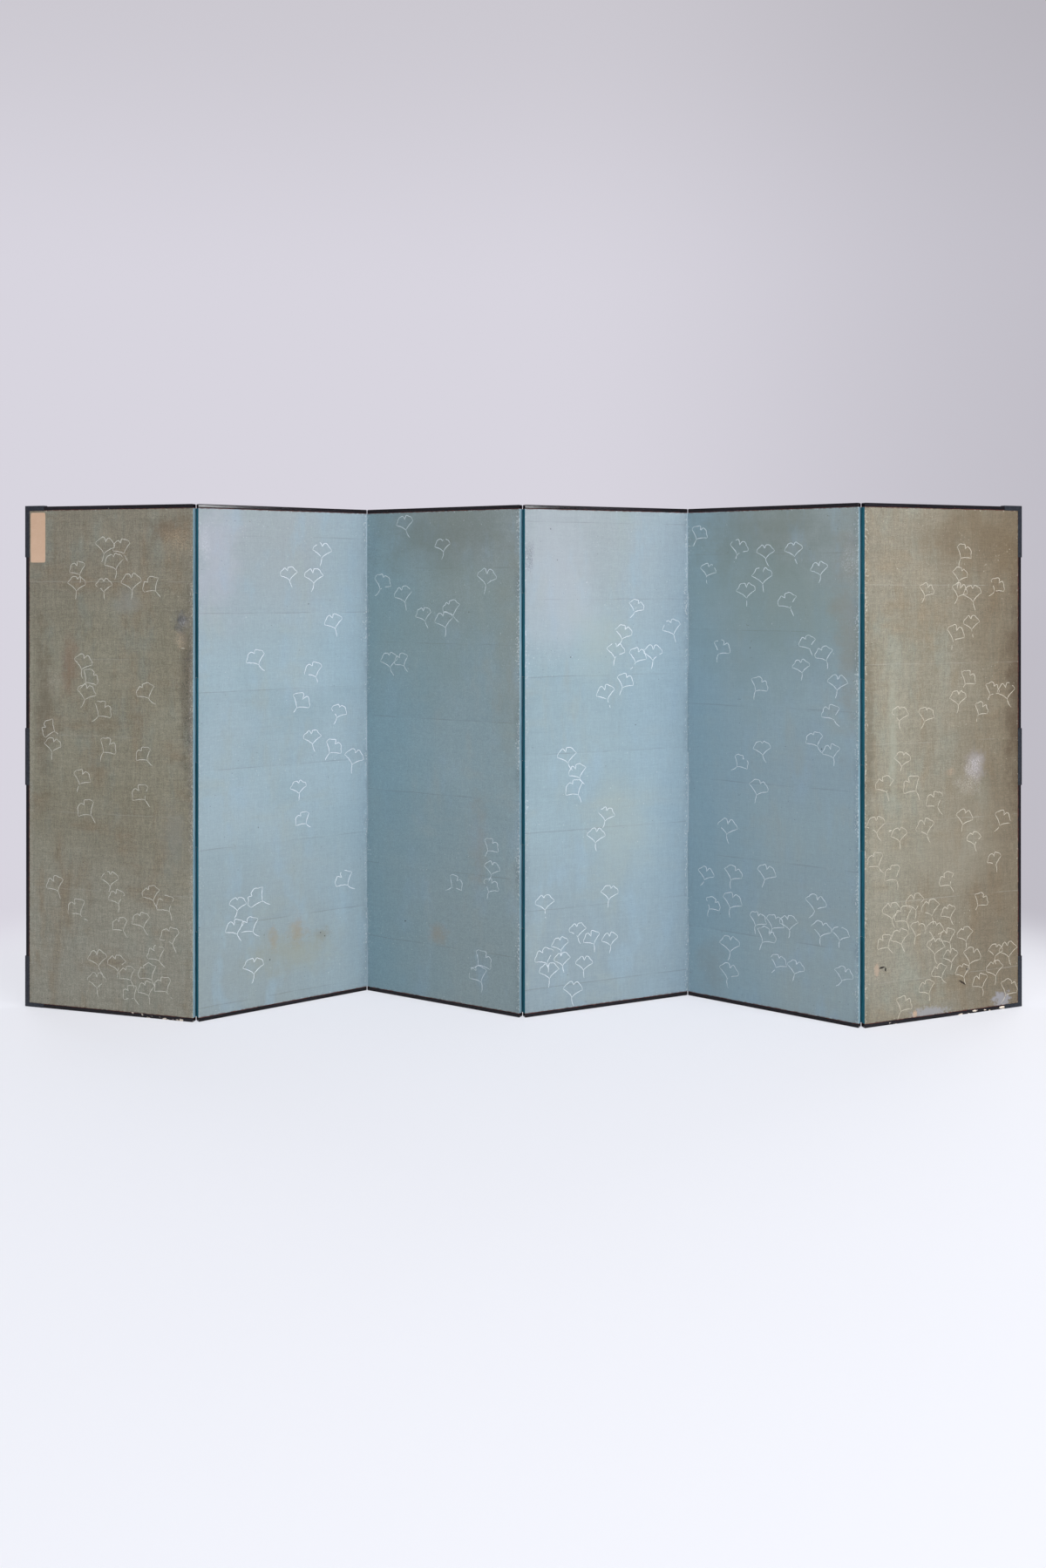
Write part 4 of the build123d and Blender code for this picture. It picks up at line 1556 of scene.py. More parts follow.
# ---------------------------------------------------------------- sub-assemblies
OLIVE = GroundPaint(
    base=ink(141, 138, 121),
    deep=ink(132, 127, 109),
    warm=ink(132, 119, 99),
    cool=ink(134, 138, 127),
    crown=ink(132, 127, 112),
    foot=ink(145, 143, 130),
    rubbed=ink(190, 186, 172),
    mottle=0.60,
    streaks=0.085,
    grain=0.18,
    joint=ink(160, 159, 150),
    joint_share=0.40,
)
BLUE = GroundPaint(
    base=ink(143, 163, 171),
    deep=ink(139, 159, 167),
    warm=ink(147, 159, 158),
    cool=ink(142, 164, 178),
    crown=ink(147, 157, 161),
    foot=ink(137, 153, 160),
    rubbed=ink(204, 212, 216),
    joint=ink(96, 92, 84),
)
GROUNDS: dict[int, GroundPaint] = {
    1: replace(
        OLIVE,
        rub_left=0.3,
        rub_right=0.62,
        streaks=0.095,
        grain=0.23,
        marks=(
            Mark(STAIN, 0.060, 1.020, 0.055, 0.420, ink(96, 82, 66), 0.42),
            Mark(STAIN, 0.160, 1.180, 0.050, 0.150, ink(126, 92, 72), 0.38),
            Mark(STAIN, 0.634, 1.000, 0.030, 0.760, ink(100, 98, 100), 0.45),
            Mark(SCUFF, 0.634, 1.050, 0.040, 0.700, ink(66, 64, 68), 0.80),
            Mark(STAIN, 0.600, 1.150, 0.034, 0.500, ink(86, 76, 66), 0.35),
            Mark(STAIN, 0.540, 1.640, 0.110, 0.070, ink(104, 80, 58), 0.40),
            Mark(STAIN, 0.380, 1.400, 0.060, 0.080, ink(142, 146, 142), 0.40),
            Mark(STAIN, 0.560, 0.620, 0.080, 0.150, ink(140, 142, 136), 0.35),
            Mark(STAIN, 0.586, 1.332, 0.034, 0.046, ink(70, 76, 84), 0.62),
            Mark(SCUFF, 0.586, 1.335, 0.040, 0.050, ink(30, 31, 34), 0.75),
            Mark(SCUFF, 0.592, 1.325, 0.040, 0.045, ink(186, 184, 184), 0.70),
            Mark(SCUFF, 0.582, 1.262, 0.034, 0.036, ink(206, 186, 160), 0.75),
            Mark(TEAR, 0.590, 1.240, 0.0090, 0.0024, ink(206, 202, 186), 0.8),
            Mark(SCUFF, 0.560, 1.600, 0.070, 0.080, ink(184, 166, 138), 0.65),
            Mark(SCUFF, 0.300, 1.620, 0.050, 0.030, ink(176, 164, 140), 0.55),
            Mark(SCUFF, 0.100, 1.120, 0.050, 0.060, ink(176, 170, 156), 0.50),
            Mark(SCUFF, 0.612, 1.080, 0.040, 0.400, ink(44, 42, 44), 0.60),
            Mark(SCUFF, 0.624, 0.900, 0.018, 0.900, ink(202, 198, 186), 0.60),
            Mark(SCUFF, 0.006, 0.800, 0.014, 0.900, ink(186, 180, 166), 0.55),
        ),
    ),
    2: replace(
        BLUE,
        rub_left=0.12,
        rub_right=0.5,
        base=ink(147, 165, 173),
        foot=ink(139, 152, 155),
        # Painted shade and bounce light, cooler towards the valley fold on the right.
        side_browning_and_valley_shade=ink(138, 162, 175),
        side_from=0.30,
        side_to=0.66,
        side_share=0.6,
        marks=(
            # Painted reflection of the light: a paler, greyer haze at the upper left, laid with a stain's
            # soft rim.
            Mark(STAIN, 0.060, 1.540, 0.150, 0.280, ink(170, 171, 183), 0.44),
            Mark(STAIN, 0.356, 0.255, 0.050, 0.085, ink(150, 134, 104), 0.52),
            Mark(STAIN, 0.268, 0.237, 0.024, 0.062, ink(150, 134, 108), 0.50),
            Mark(STAIN, 0.453, 0.225, 0.044, 0.040, ink(130, 126, 108), 0.48),
            Mark(STAIN, 0.330, 0.180, 0.250, 0.100, ink(146, 148, 132), 0.46),
            Mark(TEAR, 0.255, 0.167, 0.0034, 0.0030, ink(50, 56, 60), 0.9),
            Mark(TEAR, 0.446, 0.233, 0.0034, 0.0028, ink(52, 52, 48), 0.9),
            Mark(TEAR, 0.462, 0.219, 0.0030, 0.0026, ink(52, 52, 48), 0.9),
            Mark(TEAR, 0.400, 1.385, 0.0028, 0.0024, ink(60, 62, 66), 0.9),
            Mark(SCUFF, 0.022, 1.590, 0.026, 0.080, ink(200, 200, 208), 0.45),
        ),
    ),
    3: replace(
        BLUE,
        rub_left=0.25,
        rub_right=0.75,
        base=ink(139, 159, 164),
        deep=ink(135, 155, 160),
        crown=ink(139, 150, 150),
        foot=ink(138, 154, 156),
        grain=0.11,
        # Painted shade and bounce light, darker and bluer towards the valley fold on the left.
        side_browning_and_valley_shade=ink(122, 153, 164),
        side_from=0.42,
        side_to=-0.04,
        side_share=0.8,
        marks=(
            Mark(STAIN, 0.320, 1.640, 0.420, 0.200, ink(108, 116, 106), 0.50),
            Mark(STAIN, 0.240, 1.320, 0.600, 0.380, ink(124, 143, 136), 0.34),
            Mark(STAIN, 0.590, 1.150, 0.100, 0.560, ink(136, 138, 122), 0.28),
            Mark(STAIN, 0.470, 0.560, 0.060, 0.260, ink(146, 136, 116), 0.28),
            Mark(STAIN, 0.300, 0.240, 0.060, 0.050, ink(160, 134, 96), 0.32),
            Mark(SCUFF, 0.030, 1.560, 0.030, 0.130, ink(96, 108, 114), 0.50),
            Mark(TEAR, 0.165, 0.268, 0.0038, 0.0030, ink(36, 38, 40), 0.95),
        ),
    ),
    4: replace(
        BLUE,
        rub_left=0.3,
        rub_right=0.6,
        # Painted shade and bounce light, cooler towards the valley fold on the right.
        side_browning_and_valley_shade=ink(135, 159, 174),
        side_from=0.28,
        side_to=0.68,
        side_share=0.6,
        marks=(
            # Painted reflection of the light: a paler, greyer haze at the upper left, laid with a stain's
            # soft rim.
            Mark(STAIN, 0.120, 1.460, 0.260, 0.380, ink(167, 173, 181), 0.42),
            Mark(SCUFF, 0.016, 1.542, 0.022, 0.080, ink(96, 94, 106), 0.80),
            Mark(STAIN, 0.280, 1.250, 0.160, 0.200, ink(152, 166, 164), 0.40),
            Mark(STAIN, 0.380, 0.600, 0.220, 0.230, ink(160, 168, 160), 0.32),
            Mark(TEAR, 0.170, 1.205, 0.0030, 0.0024, ink(56, 58, 60), 0.9),
            Mark(TEAR, 0.095, 1.640, 0.0026, 0.0034, ink(70, 72, 76), 0.8),
            Mark(TEAR, 0.420, 0.965, 0.0030, 0.0024, ink(60, 64, 66), 0.9),
        ),
    ),
    5: replace(
        BLUE,
        rub_left=0.3,
        rub_right=0.75,
        base=ink(142, 162, 168),
        crown=ink(140, 151, 150),
        foot=ink(142, 159, 163),
        # Painted shade and bounce light, darker and bluer towards the valley fold on the left.
        side_browning_and_valley_shade=ink(126, 155, 168),
        side_from=0.42,
        side_to=-0.04,
        side_share=0.8,
        marks=(
            Mark(STAIN, 0.300, 1.640, 0.420, 0.190, ink(110, 118, 108), 0.50),
            Mark(STAIN, 0.330, 1.340, 0.620, 0.380, ink(120, 138, 132), 0.46),
            Mark(STAIN, 0.600, 1.300, 0.090, 0.460, ink(140, 134, 118), 0.45),
            Mark(STAIN, 0.090, 0.120, 0.080, 0.140, ink(128, 134, 130), 0.35),
            Mark(SCUFF, 0.605, 1.590, 0.030, 0.070, ink(86, 94, 100), 0.60),
            Mark(SCUFF, 0.600, 1.540, 0.036, 0.110, ink(190, 196, 200), 0.55),
            Mark(TEAR, 0.240, 1.235, 0.0028, 0.0024, ink(54, 58, 60), 0.9),
            Mark(TEAR, 0.500, 0.905, 0.0034, 0.0026, ink(40, 42, 46), 0.9),
        ),
    ),
    6: replace(
        OLIVE,
        rub_left=0.75,
        rub_right=0.4,
        base=ink(138, 135, 121),
        deep=ink(130, 126, 111),
        warm=ink(132, 121, 102),
        crown=ink(131, 126, 112),
        foot=ink(135, 132, 119),
        side_browning_and_valley_shade=ink(98, 85, 67),
        side_from=0.10,
        side_to=0.66,
        side_share=0.70,
        marks=(
            Mark(STAIN, 0.632, 1.080, 0.080, 0.580, ink(66, 52, 40), 0.62),
            Mark(STAIN, 0.460, 1.610, 0.340, 0.190, ink(100, 86, 66), 0.52),
            Mark(STAIN, 0.400, 0.560, 0.300, 0.240, ink(146, 142, 128), 0.30),
            Mark(STAIN, 0.018, 0.950, 0.030, 0.450, ink(92, 84, 70), 0.48),
            Mark(STAIN, 0.110, 0.930, 0.026, 0.360, ink(152, 156, 142), 0.45),
            Mark(STAIN, 0.445, 0.835, 0.055, 0.075, ink(146, 143, 146), 0.50),
            Mark(SCUFF, 0.440, 0.838, 0.050, 0.050, ink(208, 204, 206), 0.58),
            Mark(SCUFF, 0.420, 0.775, 0.070, 0.050, ink(184, 182, 174), 0.50),
            Mark(SCUFF, 0.341, 0.821, 0.030, 0.016, ink(192, 160, 134), 0.60),
            Mark(LOSS, 0.256, 0.024, 0.085, 0.022, ink(148, 149, 154), 0.75),
            Mark(LOSS, 0.557, 0.028, 0.042, 0.038, ink(146, 147, 154), 0.75),
            Mark(LOSS, 0.199, 0.024, 0.010, 0.014, ink(190, 162, 138), 0.75),
            Mark(LOSS, 0.047, 0.186, 0.012, 0.026, ink(184, 160, 140), 0.50),
            Mark(TEAR, 0.068, 0.192, 0.0150, 0.0042, ink(28, 24, 22), 0.97, 8.0),
            Mark(TEAR, 0.082, 0.184, 0.0046, 0.0085, ink(28, 24, 22), 0.97),
            Mark(TEAR, 0.414, 0.151, 0.0075, 0.0066, ink(24, 22, 20), 0.98),
            Mark(TEAR, 0.392, 0.109, 0.0220, 0.0042, ink(44, 38, 34), 0.95, -32.0),
            Mark(TEAR, 0.100, 0.640, 0.0080, 0.0026, ink(206, 200, 186), 0.80, 20.0),
        ),
    ),
}
DRIFTS: dict[int, tuple[Drift, ...]] = {
    1: (
        Drift(0.42, 0.22, 0.13, 0.11, 15, 24),
        Drift(0.16, 1.02, 0.08, 0.14, 7, -30),
        Drift(0.32, 1.50, 0.13, 0.07, 7, 10),
    ),
    2: (
        Drift(0.44, 0.86, 0.09, 0.10, 6, -18),
        Drift(0.14, 0.24, 0.08, 0.07, 5, 20),
        Drift(0.38, 1.50, 0.10, 0.05, 3, 8),
    ),
    3: (Drift(0.34, 1.30, 0.10, 0.12, 6, 22), Drift(0.48, 0.42, 0.08, 0.12, 5, -25)),
    4: (
        Drift(0.18, 0.22, 0.10, 0.10, 9, 16),
        Drift(0.42, 1.18, 0.10, 0.11, 6, -20),
        Drift(0.20, 0.80, 0.07, 0.07, 4, 12),
    ),
    5: (
        Drift(0.30, 0.28, 0.15, 0.12, 17, -16),
        Drift(0.46, 1.12, 0.09, 0.13, 9, 24),
        Drift(0.18, 1.50, 0.10, 0.06, 5, -6),
    ),
    6: (
        Drift(0.22, 0.44, 0.13, 0.17, 24, 18),
        Drift(0.46, 1.34, 0.10, 0.12, 11, -24),
        Drift(0.46, 0.16, 0.12, 0.06, 8, 4),
    ),
}
STRAYS = {1: 9, 2: 5, 3: 5, 4: 5, 5: 8, 6: 10}

KEPT_LINES, WORN_LINES = 0.40, 0.55
SHELL_WHITES: dict[int, Colour] = {
    1: ink(206, 204, 194),
    2: ink(216, 223, 230),
    3: ink(206, 216, 221),
    4: ink(212, 220, 226),
    5: ink(208, 218, 223),
    6: ink(188, 182, 168),
}


@dataclass
class PanelPapers:
    """One panel's painted front and its plain back."""

    panel: PanelPlace

    def build(self) -> None:
        """Build and dress the two sheets and the painted leaves."""
        k = self.panel.number
        ground = GROUNDS[k]
        cockle = Cockle(seed=40 + k)
        paint = ground.dress(f"ground_{k}", k)
        front = PaperSheet(self.panel, Face.FRONT, cockle).build(f"panel_{k}_painted_sheet", paint)
        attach(front, self.panel.body)
        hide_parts(f"panel_{k}_painting")
        thin = KEPT_LINES if k in (2, 4) else WORN_LINES
        white = ShellWhite(SHELL_WHITES[k], ground.base, thin).dress(f"shell_white_{k}")
        shower = LeafShower(self.panel, cockle, DRIFTS[k], STRAYS[k], seed=310 + k)
        leaves = shower.build(f"panel_{k}_painted_leaves", white)
        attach(leaves, self.panel.body)
        back = PaperSheet(self.panel, Face.BACK, Cockle(seed=80 + k)).build(
            f"panel_{k}_backing_sheet", BACKING.dress(f"backing_{k}", "sheet_place")
        )
        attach(back, self.panel.body)
        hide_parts(f"panel_{k}_backing")
        LOG.info("panel %d: painted sheet, leaves and backing", k)


BACKING = PlainPaper(base=ink(186, 176, 152), aged=ink(168, 156, 130), fibre=ink(206, 198, 178), joints=True)
LINING = PlainPaper(base=ink(214, 204, 182), aged=ink(192, 178, 150), fibre=ink(228, 222, 206))
SLIP = PlainPaper(base=ink(220, 188, 160), aged=ink(208, 174, 146), fibre=ink(228, 204, 180), gloss=0.8)
# The same hinge paper twice: painted light makes the left panel's edge pale blue, as it faces the light, and
# painted shade makes the right panel's edge dark teal, as it faces away.
HINGE_PAINTED_LIT = HingePaper(painted_light_tone=ink(142, 172, 184), shade=ink(112, 148, 164), rubbed=ink(196, 212, 220), rub=0.7)
HINGE_PAINTED_SHADE = HingePaper(painted_light_tone=ink(46, 114, 130), shade=ink(32, 90, 104), rubbed=ink(110, 150, 160), rub=0.3)
# The hinge paper's dark teal with the groove's shade painted in, for the creases' sides that face into a
# fold's groove.
GROOVE_TEAL_AND_SHADE = ink(34, 92, 108)
BACK_CREASE = replace(BACKING, inner=GROOVE_TEAL_AND_SHADE)
BLUE_CREASE = PlainPaper(
    base=ink(158, 176, 186), aged=ink(120, 142, 152), fibre=ink(226, 230, 230), inner=GROOVE_TEAL_AND_SHADE
)


@dataclass
class Folds:
    """The paper hinges of one fold."""

    number: int
    left: PanelPlace
    right: PanelPlace

    def build(self, pale: Finish, shaded_hinge: Finish, crease: dict[bool, Finish]) -> None:
        """Build the edge papers and the creases that cross the fold.

        Args:
            pale: The hinge paper's finish on the left panel's edge, painted lighter as lit.
            shaded_hinge: The same paper's finish on the right panel's edge, painted darker as shaded.
            crease: The crease's finish, for a forward fold and for the others.
        """
        a, b = self.left.number, self.right.number
        # The left panel's edge takes the copy with painted light, the right panel's edge the copy with
        # painted shade.
        for panel, on_right, side, material, slot in (
            (self.left, True, "left", pale, "pale_hinge_paper"),
            (self.right, False, "right", shaded_hinge, "teal_hinge_paper"),
        ):
            edge = HingeEdge(panel, on_right).build(f"fold_{a}_{b}_{side}_edge_paper", material)
            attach(edge, panel.body)
            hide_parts(f"hinge_{a}_{b}_{side}_strips")
        forward = FOLDS_FORWARD[self.number]
        web = CreasePaper(self.left, self.right, forward).build(f"fold_{a}_{b}_crease", crease[forward])
        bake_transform(web)
        LOG.info("fold %d-%d: edge papers and creases", a, b)


@dataclass
class Rails:
    """All the lacquered rails of one panel."""

    panel: PanelPlace
    slight_wear: float = 0.05
    top_loss: float = 0.22
    top_loss_reach: float = 0.12
    first_foot_loss: tuple[float, float] = (0.10, 0.96)
    first_foot_rise: tuple[float, float] = (0.45, 0.75)
    inner_foot_wear: float = 0.06
    last_foot_loss: float = 0.72

    def build(self, lacquer: Finish) -> None:
        """Build and dress the panel's rails.

        Args:
            lacquer: Their finish.
        """
        p = self.panel
        k = p.number
        first = -RAIL_WIDTH if p.rail_left else 0.0
        last = p.width + (RAIL_WIDTH if p.rail_right else 0.0)
        start = EndCut.MITRED if p.rail_left else EndCut.ROUNDED
        end = EndCut.MITRED if p.rail_right else EndCut.ROUNDED

        def top(along: float, h: float, w: float) -> Point:
            """A point of the top rail."""
            return tuple(p.matrix @ Vector((first + along, w, SCREEN_HEIGHT - h)))

        def bottom(along: float, h: float, w: float) -> Point:
            """A point of the bottom rail."""
            return tuple(p.matrix @ Vector((first + along, w, h)))

        for name, at, flip, wear in (
            ("top", top, True, self._top_wear),
            ("bottom", bottom, False, self._bottom_wear),
        ):
            rail = LacqueredRail(last - first, start, end, at, flip, wear, seed=k * 10 + len(name))
            piece = rail.build(f"panel_{k}_{name}_lacquered_rail", lacquer)
            self._finish(piece, f"panel_{k}_{name}_rail")
        for on_left, there in ((True, p.rail_left), (False, p.rail_right)):
            if there:
                self._side(on_left, lacquer)
        LOG.info("panel %d: rails", k)

    def _side(self, on_left: bool, lacquer: Finish) -> None:
        """Build a side rail.

        Args:
            on_left: Whether it is the left one.
            lacquer: Its finish.
        """
        p = self.panel
        name = "left" if on_left else "right"

        def side(along: float, h: float, w: float) -> Point:
            """A point of the side rail."""
            u = -RAIL_WIDTH + h if on_left else p.width + RAIL_WIDTH - h
            return tuple(p.matrix @ Vector((u, w, along)))

        cut, seed = EndCut.MITRED, 90 + on_left
        rail = LacqueredRail(SCREEN_HEIGHT, cut, cut, side, on_left, lambda _: self.slight_wear, seed)
        self._finish(rail.build(f"{name}_lacquered_rail", lacquer), f"{name}_rail")

    def _finish(self, piece: Piece, node: str) -> None:
        """Put a rail on its body, in place of its plain one.

        Args:
            piece: The rail.
            node: The name of the plain one.
        """
        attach(piece, self.panel.body)
        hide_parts(node)

    def _top_wear(self, along: float) -> float:
        """How worn the top rail is: only the last panel's has lost a little lacquer, at its fold."""
        worn = self.panel.number == PANELS and along < self.top_loss_reach
        return self.top_loss if worn else self.slight_wear

    def _bottom_wear(self, along: float) -> float:
        """How worn the bottom rail is: the two outer panels' have lost lacquer towards the folds.

        Args:
            along: The place along the rail.

        Returns:
            The wear, from 0 to 1.
        """
        share = along / self.panel.width
        if self.panel.number == 1:
            (least, most), (low, high) = self.first_foot_loss, self.first_foot_rise
            return least + (most - least) * max(0.0, min(1.0, (share - low) / (high - low)))
        return self.last_foot_loss if self.panel.number == PANELS else self.inner_foot_wear


@dataclass
class Ironwork:
    """The fittings, nails and tacks on one outer edge."""

    panel: PanelPlace
    side: str
    post: float = 0.174
    arm: float = 0.072
    side_fitting: float = 0.196
    nails_each_way: int = 3
    tack_inset: float = 8.0 * MM
    plate: float = 1.8 * MM
    nail: tuple[float, float] = (4.5 * MM, 2.5 * MM)
    tack: float = 1.6 * MM
    tack_heights: tuple[float, float] = (0.8 * MM, 0.3 * MM)
    tack_sunk: float = 0.1 * MM
    eased: float = 0.35 * MM
    seam: float = 0.01 * MM

    def build(self, iron: Finish) -> None:
        """Dress the fittings and add nails and tacks.

        Args:
            iron: Their finish.
        """
        for name in ("top_corner_fitting", "bottom_corner_fitting", "side_fitting"):
            self._eased(f"{self.side}_{name}", iron)
        self._nails(iron)
        self._tacks(iron)
        LOG.info("%s edge: fittings, nails and tacks", self.side)

    def _eased(self, node_name: str, iron: Finish) -> None:
        """Make a fitting with filed, eased edges in place of its plain one.

        Args:
            node_name: The plain one's name.
            iron: Its finish.
        """
        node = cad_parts[node_name]
        rough = shown(f"{node_name}_blank", node.data.copy())
        weld = rough.modifiers.new("weld", "WELD")
        weld.merge_threshold = self.seam
        bevel = rough.modifiers.new("eased_edges", "BEVEL")
        bevel.width, bevel.segments, bevel.limit_method = self.eased, 2, "ANGLE"
        bevel.angle_limit = math.radians(40)
        mesh = bpy.data.meshes.new_from_object(rough.evaluated_get(bpy.context.evaluated_depsgraph_get()))
        bpy.data.objects.remove(rough)
        mesh.materials.clear()
        mesh.materials.append(iron)
        piece = shown(f"{node_name}_filed", mesh)
        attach(piece, self.panel.body)
        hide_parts(node_name)

    def _edge(self, w: float, z: float, out: float) -> Vector:
        """A point beside the outer edge, out from the rail."""
        u = -RAIL_WIDTH - out if self.side == "left" else self.panel.width + RAIL_WIDTH + out
        return self.panel.matrix @ Vector((u, w, z))

    def _nails(self, iron: Finish) -> None:
        """Build the domed nails.

        Args:
            iron: Their finish.
        """
        draw = random.Random(7 if self.side == "left" else 8)
        shape = Shape()
        out = (self._edge(0, 0, 1) - self._edge(0, 0, 0)).normalized()
        low, high = self.side_fitting / 2, SCREEN_HEIGHT / 2 - self.post
        step = (high - low) / (self.nails_each_way + 1)
        for i in range(self.nails_each_way):
            for sign in (-1, 1):
                z = SCREEN_HEIGHT / 2 + sign * (low + step * (i + 1))
                DomedHeads(*self.nail).head(shape, self._edge(0, z, 0), out, draw)
        piece = shape.build(f"{self.side}_domed_nails", Matrix.Identity(4), iron, 60.0)
        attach(piece, self.panel.body)
        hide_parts(f"{self.side}_rail_nails")

    def _tacks(self, iron: Finish) -> None:
        """Build the small tacks in each fitting's plates, nearly flush at the back, where the panels close.

        Args:
            iron: Their finish.
        """
        draw = random.Random(17 if self.side == "left" else 18)
        shape = Shape()
        mid = SCREEN_HEIGHT / 2
        half = self.side_fitting / 2 - self.tack_inset
        post = self.post - self.tack_inset
        low, high = RAIL_WIDTH / 2, SCREEN_HEIGHT - RAIL_WIDTH / 2
        heights = (post, SCREEN_HEIGHT - post, mid - half, mid + half, mid, low, high)
        spots = [(-RAIL_WIDTH / 2, z) for z in heights]
        reach = self.arm - RAIL_WIDTH - self.tack_inset
        spots += [(reach, low), (reach, high)]
        face = HALF_DEPTH + self.plate
        for w, height in zip((-face, face), self.tack_heights):
            out = self.panel.matrix.to_3x3() @ Vector((0, math.copysign(1, w), 0))
            for u, z in spots:
                u = u if self.side == "left" else self.panel.width - u
                centre = self.panel.matrix @ Vector((u, w - math.copysign(self.tack_sunk, w), z))
                DomedHeads(self.tack, height, rings=3, around=12).head(shape, centre, out, draw)
        piece = shape.build(f"{self.side}_fitting_tacks", Matrix.Identity(4), iron, 60.0)
        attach(piece, self.panel.body)


@dataclass
class BlankSlip:
    """The bare paper slip at the top of the first panel, a little lifted at its corners."""

    panel: PanelPlace
    width: float = 0.058
    length: float = 0.171
    from_side: float = 0.005
    from_top: float = 0.007
    corner: float = 0.005
    thickness: float = 0.28 * MM
    paste: float = 0.06 * MM
    curl: float = 0.35 * MM
    ripple: float = 0.04 * MM
    grid: tuple[int, int] = (10, 26)

    def build(self) -> None:
        """Build the slip."""
        shape = Shape()
        columns, rows = (steps(0, 1, 1 / count) for count in self.grid)
        top: list[Point] = []
        for t in rows:
            for s in columns:
                u, z = self._corner_rounded(s * self.width, t * self.length)
                lift = self.curl * max(0.0, abs(2 * s - 1) - 0.7) * max(0.0, abs(2 * t - 1) - 0.75) * 12
                ripple = self.ripple * math.sin(7 * t + 3 * s)
                top.append((u, -(HALF_DEPTH + self.thickness + self.paste + lift + ripple), z))
        across, start = len(columns), len(rows) * len(columns)
        shape.points = top + [(u, w + self.thickness, z) for u, w, z in top]
        for i in range(len(rows) - 1):
            for j in range(across - 1):
                a = i * across + j
                quad = (a, a + 1, a + across + 1, a + across)
                shape.faces += [quad, tuple(start + v for v in quad[::-1])]
        rim = grid_rim(across, len(rows))
        for i, v in enumerate(rim):
            n = rim[(i + 1) % len(rim)]
            shape.faces.append((n, v, start + v, start + n))
        shape.value("sheet_place", [(u, z, 3.0) for u, _, z in shape.points])
        paper = SLIP.dress("slip_paper_aged", "sheet_place")
        piece = shape.build("blank_title_slip", self.panel.matrix, paper, 60.0)
        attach(piece, self.panel.body)
        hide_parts("title_slip")
        LOG.info("blank slip")

    def _corner_rounded(self, s: float, t: float) -> tuple[float, float]:
        """A point of the slip's grid, drawn in where the corners are round.

        Args:
            s: Its place across the slip.
            t: Its place up the slip.

        Returns:
            Its place along and up the panel.
        """
        cs = min(max(s, self.corner), self.width - self.corner)
        ct = min(max(t, self.corner), self.length - self.corner)
        ds, dt = s - cs, t - ct
        reach = math.hypot(ds, dt)
        if ds and dt and reach:
            largest = max(abs(ds), abs(dt))
            ds, dt = ds * largest / reach, dt * largest / reach
        return self.from_side + cs + ds, SHEET_TOP - self.from_top - self.length + ct + dt


def dress(node: Piece, material: Finish) -> None:
    """Give every slot of a CAD node one finish.

    Args:
        node: The node's object.
        material: The finish.
    """
    for slot in node.material_slots:
        slot.material = material


# ---------------------------------------------------------------- stage
@dataclass(frozen=True)
class SoftLamp:
    """A softbox aimed at a point, which the camera never sees."""

    name: str
    at: Point
    aim: Point
    size: tuple[float, float]
    power: float
    colour: Colour
    lights: bool = True
    glosses: bool = False
    spread: float = 180.0

    def hang(self) -> None:
        """Hang the lamp."""
        data = bpy.data.lights.new(self.name, "AREA")
        data.shape = "RECTANGLE"
        data.size, data.size_y = self.size
        data.energy, data.color = self.power, self.colour
        data.spread = math.radians(self.spread)
        lamp = shown(self.name, data)
        lamp.location = self.at
        lamp.rotation_euler = (Vector(self.aim) - Vector(self.at)).to_track_quat("-Z", "Y").to_euler()
        lamp.visible_camera, lamp.visible_diffuse, lamp.visible_glossy = False, self.lights, self.glosses


LAMPS = (
    SoftLamp("key", (7.2, -4.6, 2.2), (0.2, 0.0, 0.9), (3.2, 3.2), 420.0, (1.0, 0.985, 0.965)),
    SoftLamp("front", (0.8, -7.5, 2.6), (0.0, 0.0, 0.8), (4.0, 4.0), 20.0, (0.98, 0.985, 1.0)),
    SoftLamp(
        "overhead", (0.2, -3.6, 4.8), (0.1, -1.2, 0.0), (4.5, 4.5), 150.0, (0.97, 0.98, 1.0), glosses=True
    ),
    SoftLamp("fill", (-6.0, -4.6, 2.0), (0.0, 0.0, 0.9), (3.2, 3.2), 14.0, (0.94, 0.97, 1.0)),
    SoftLamp("behind_right", (4.6, 4.4, 3.2), (0.0, 0.2, 0.9), (3.0, 3.0), 150.0, (1.0, 0.985, 0.97)),
    SoftLamp("behind_left", (-4.6, 4.6, 3.2), (0.0, 0.2, 0.9), (3.0, 3.0), 110.0, (0.95, 0.97, 1.0)),
    SoftLamp(
        "sheen",
        (2.74, -2.74, 2.3),
        (-0.9, -0.1, 1.7),
        (0.28, 2.6),
        8.4,
        (0.97, 0.98, 1.0),
        lights=False,
        glosses=True,
        spread=60.0,
    ),
)


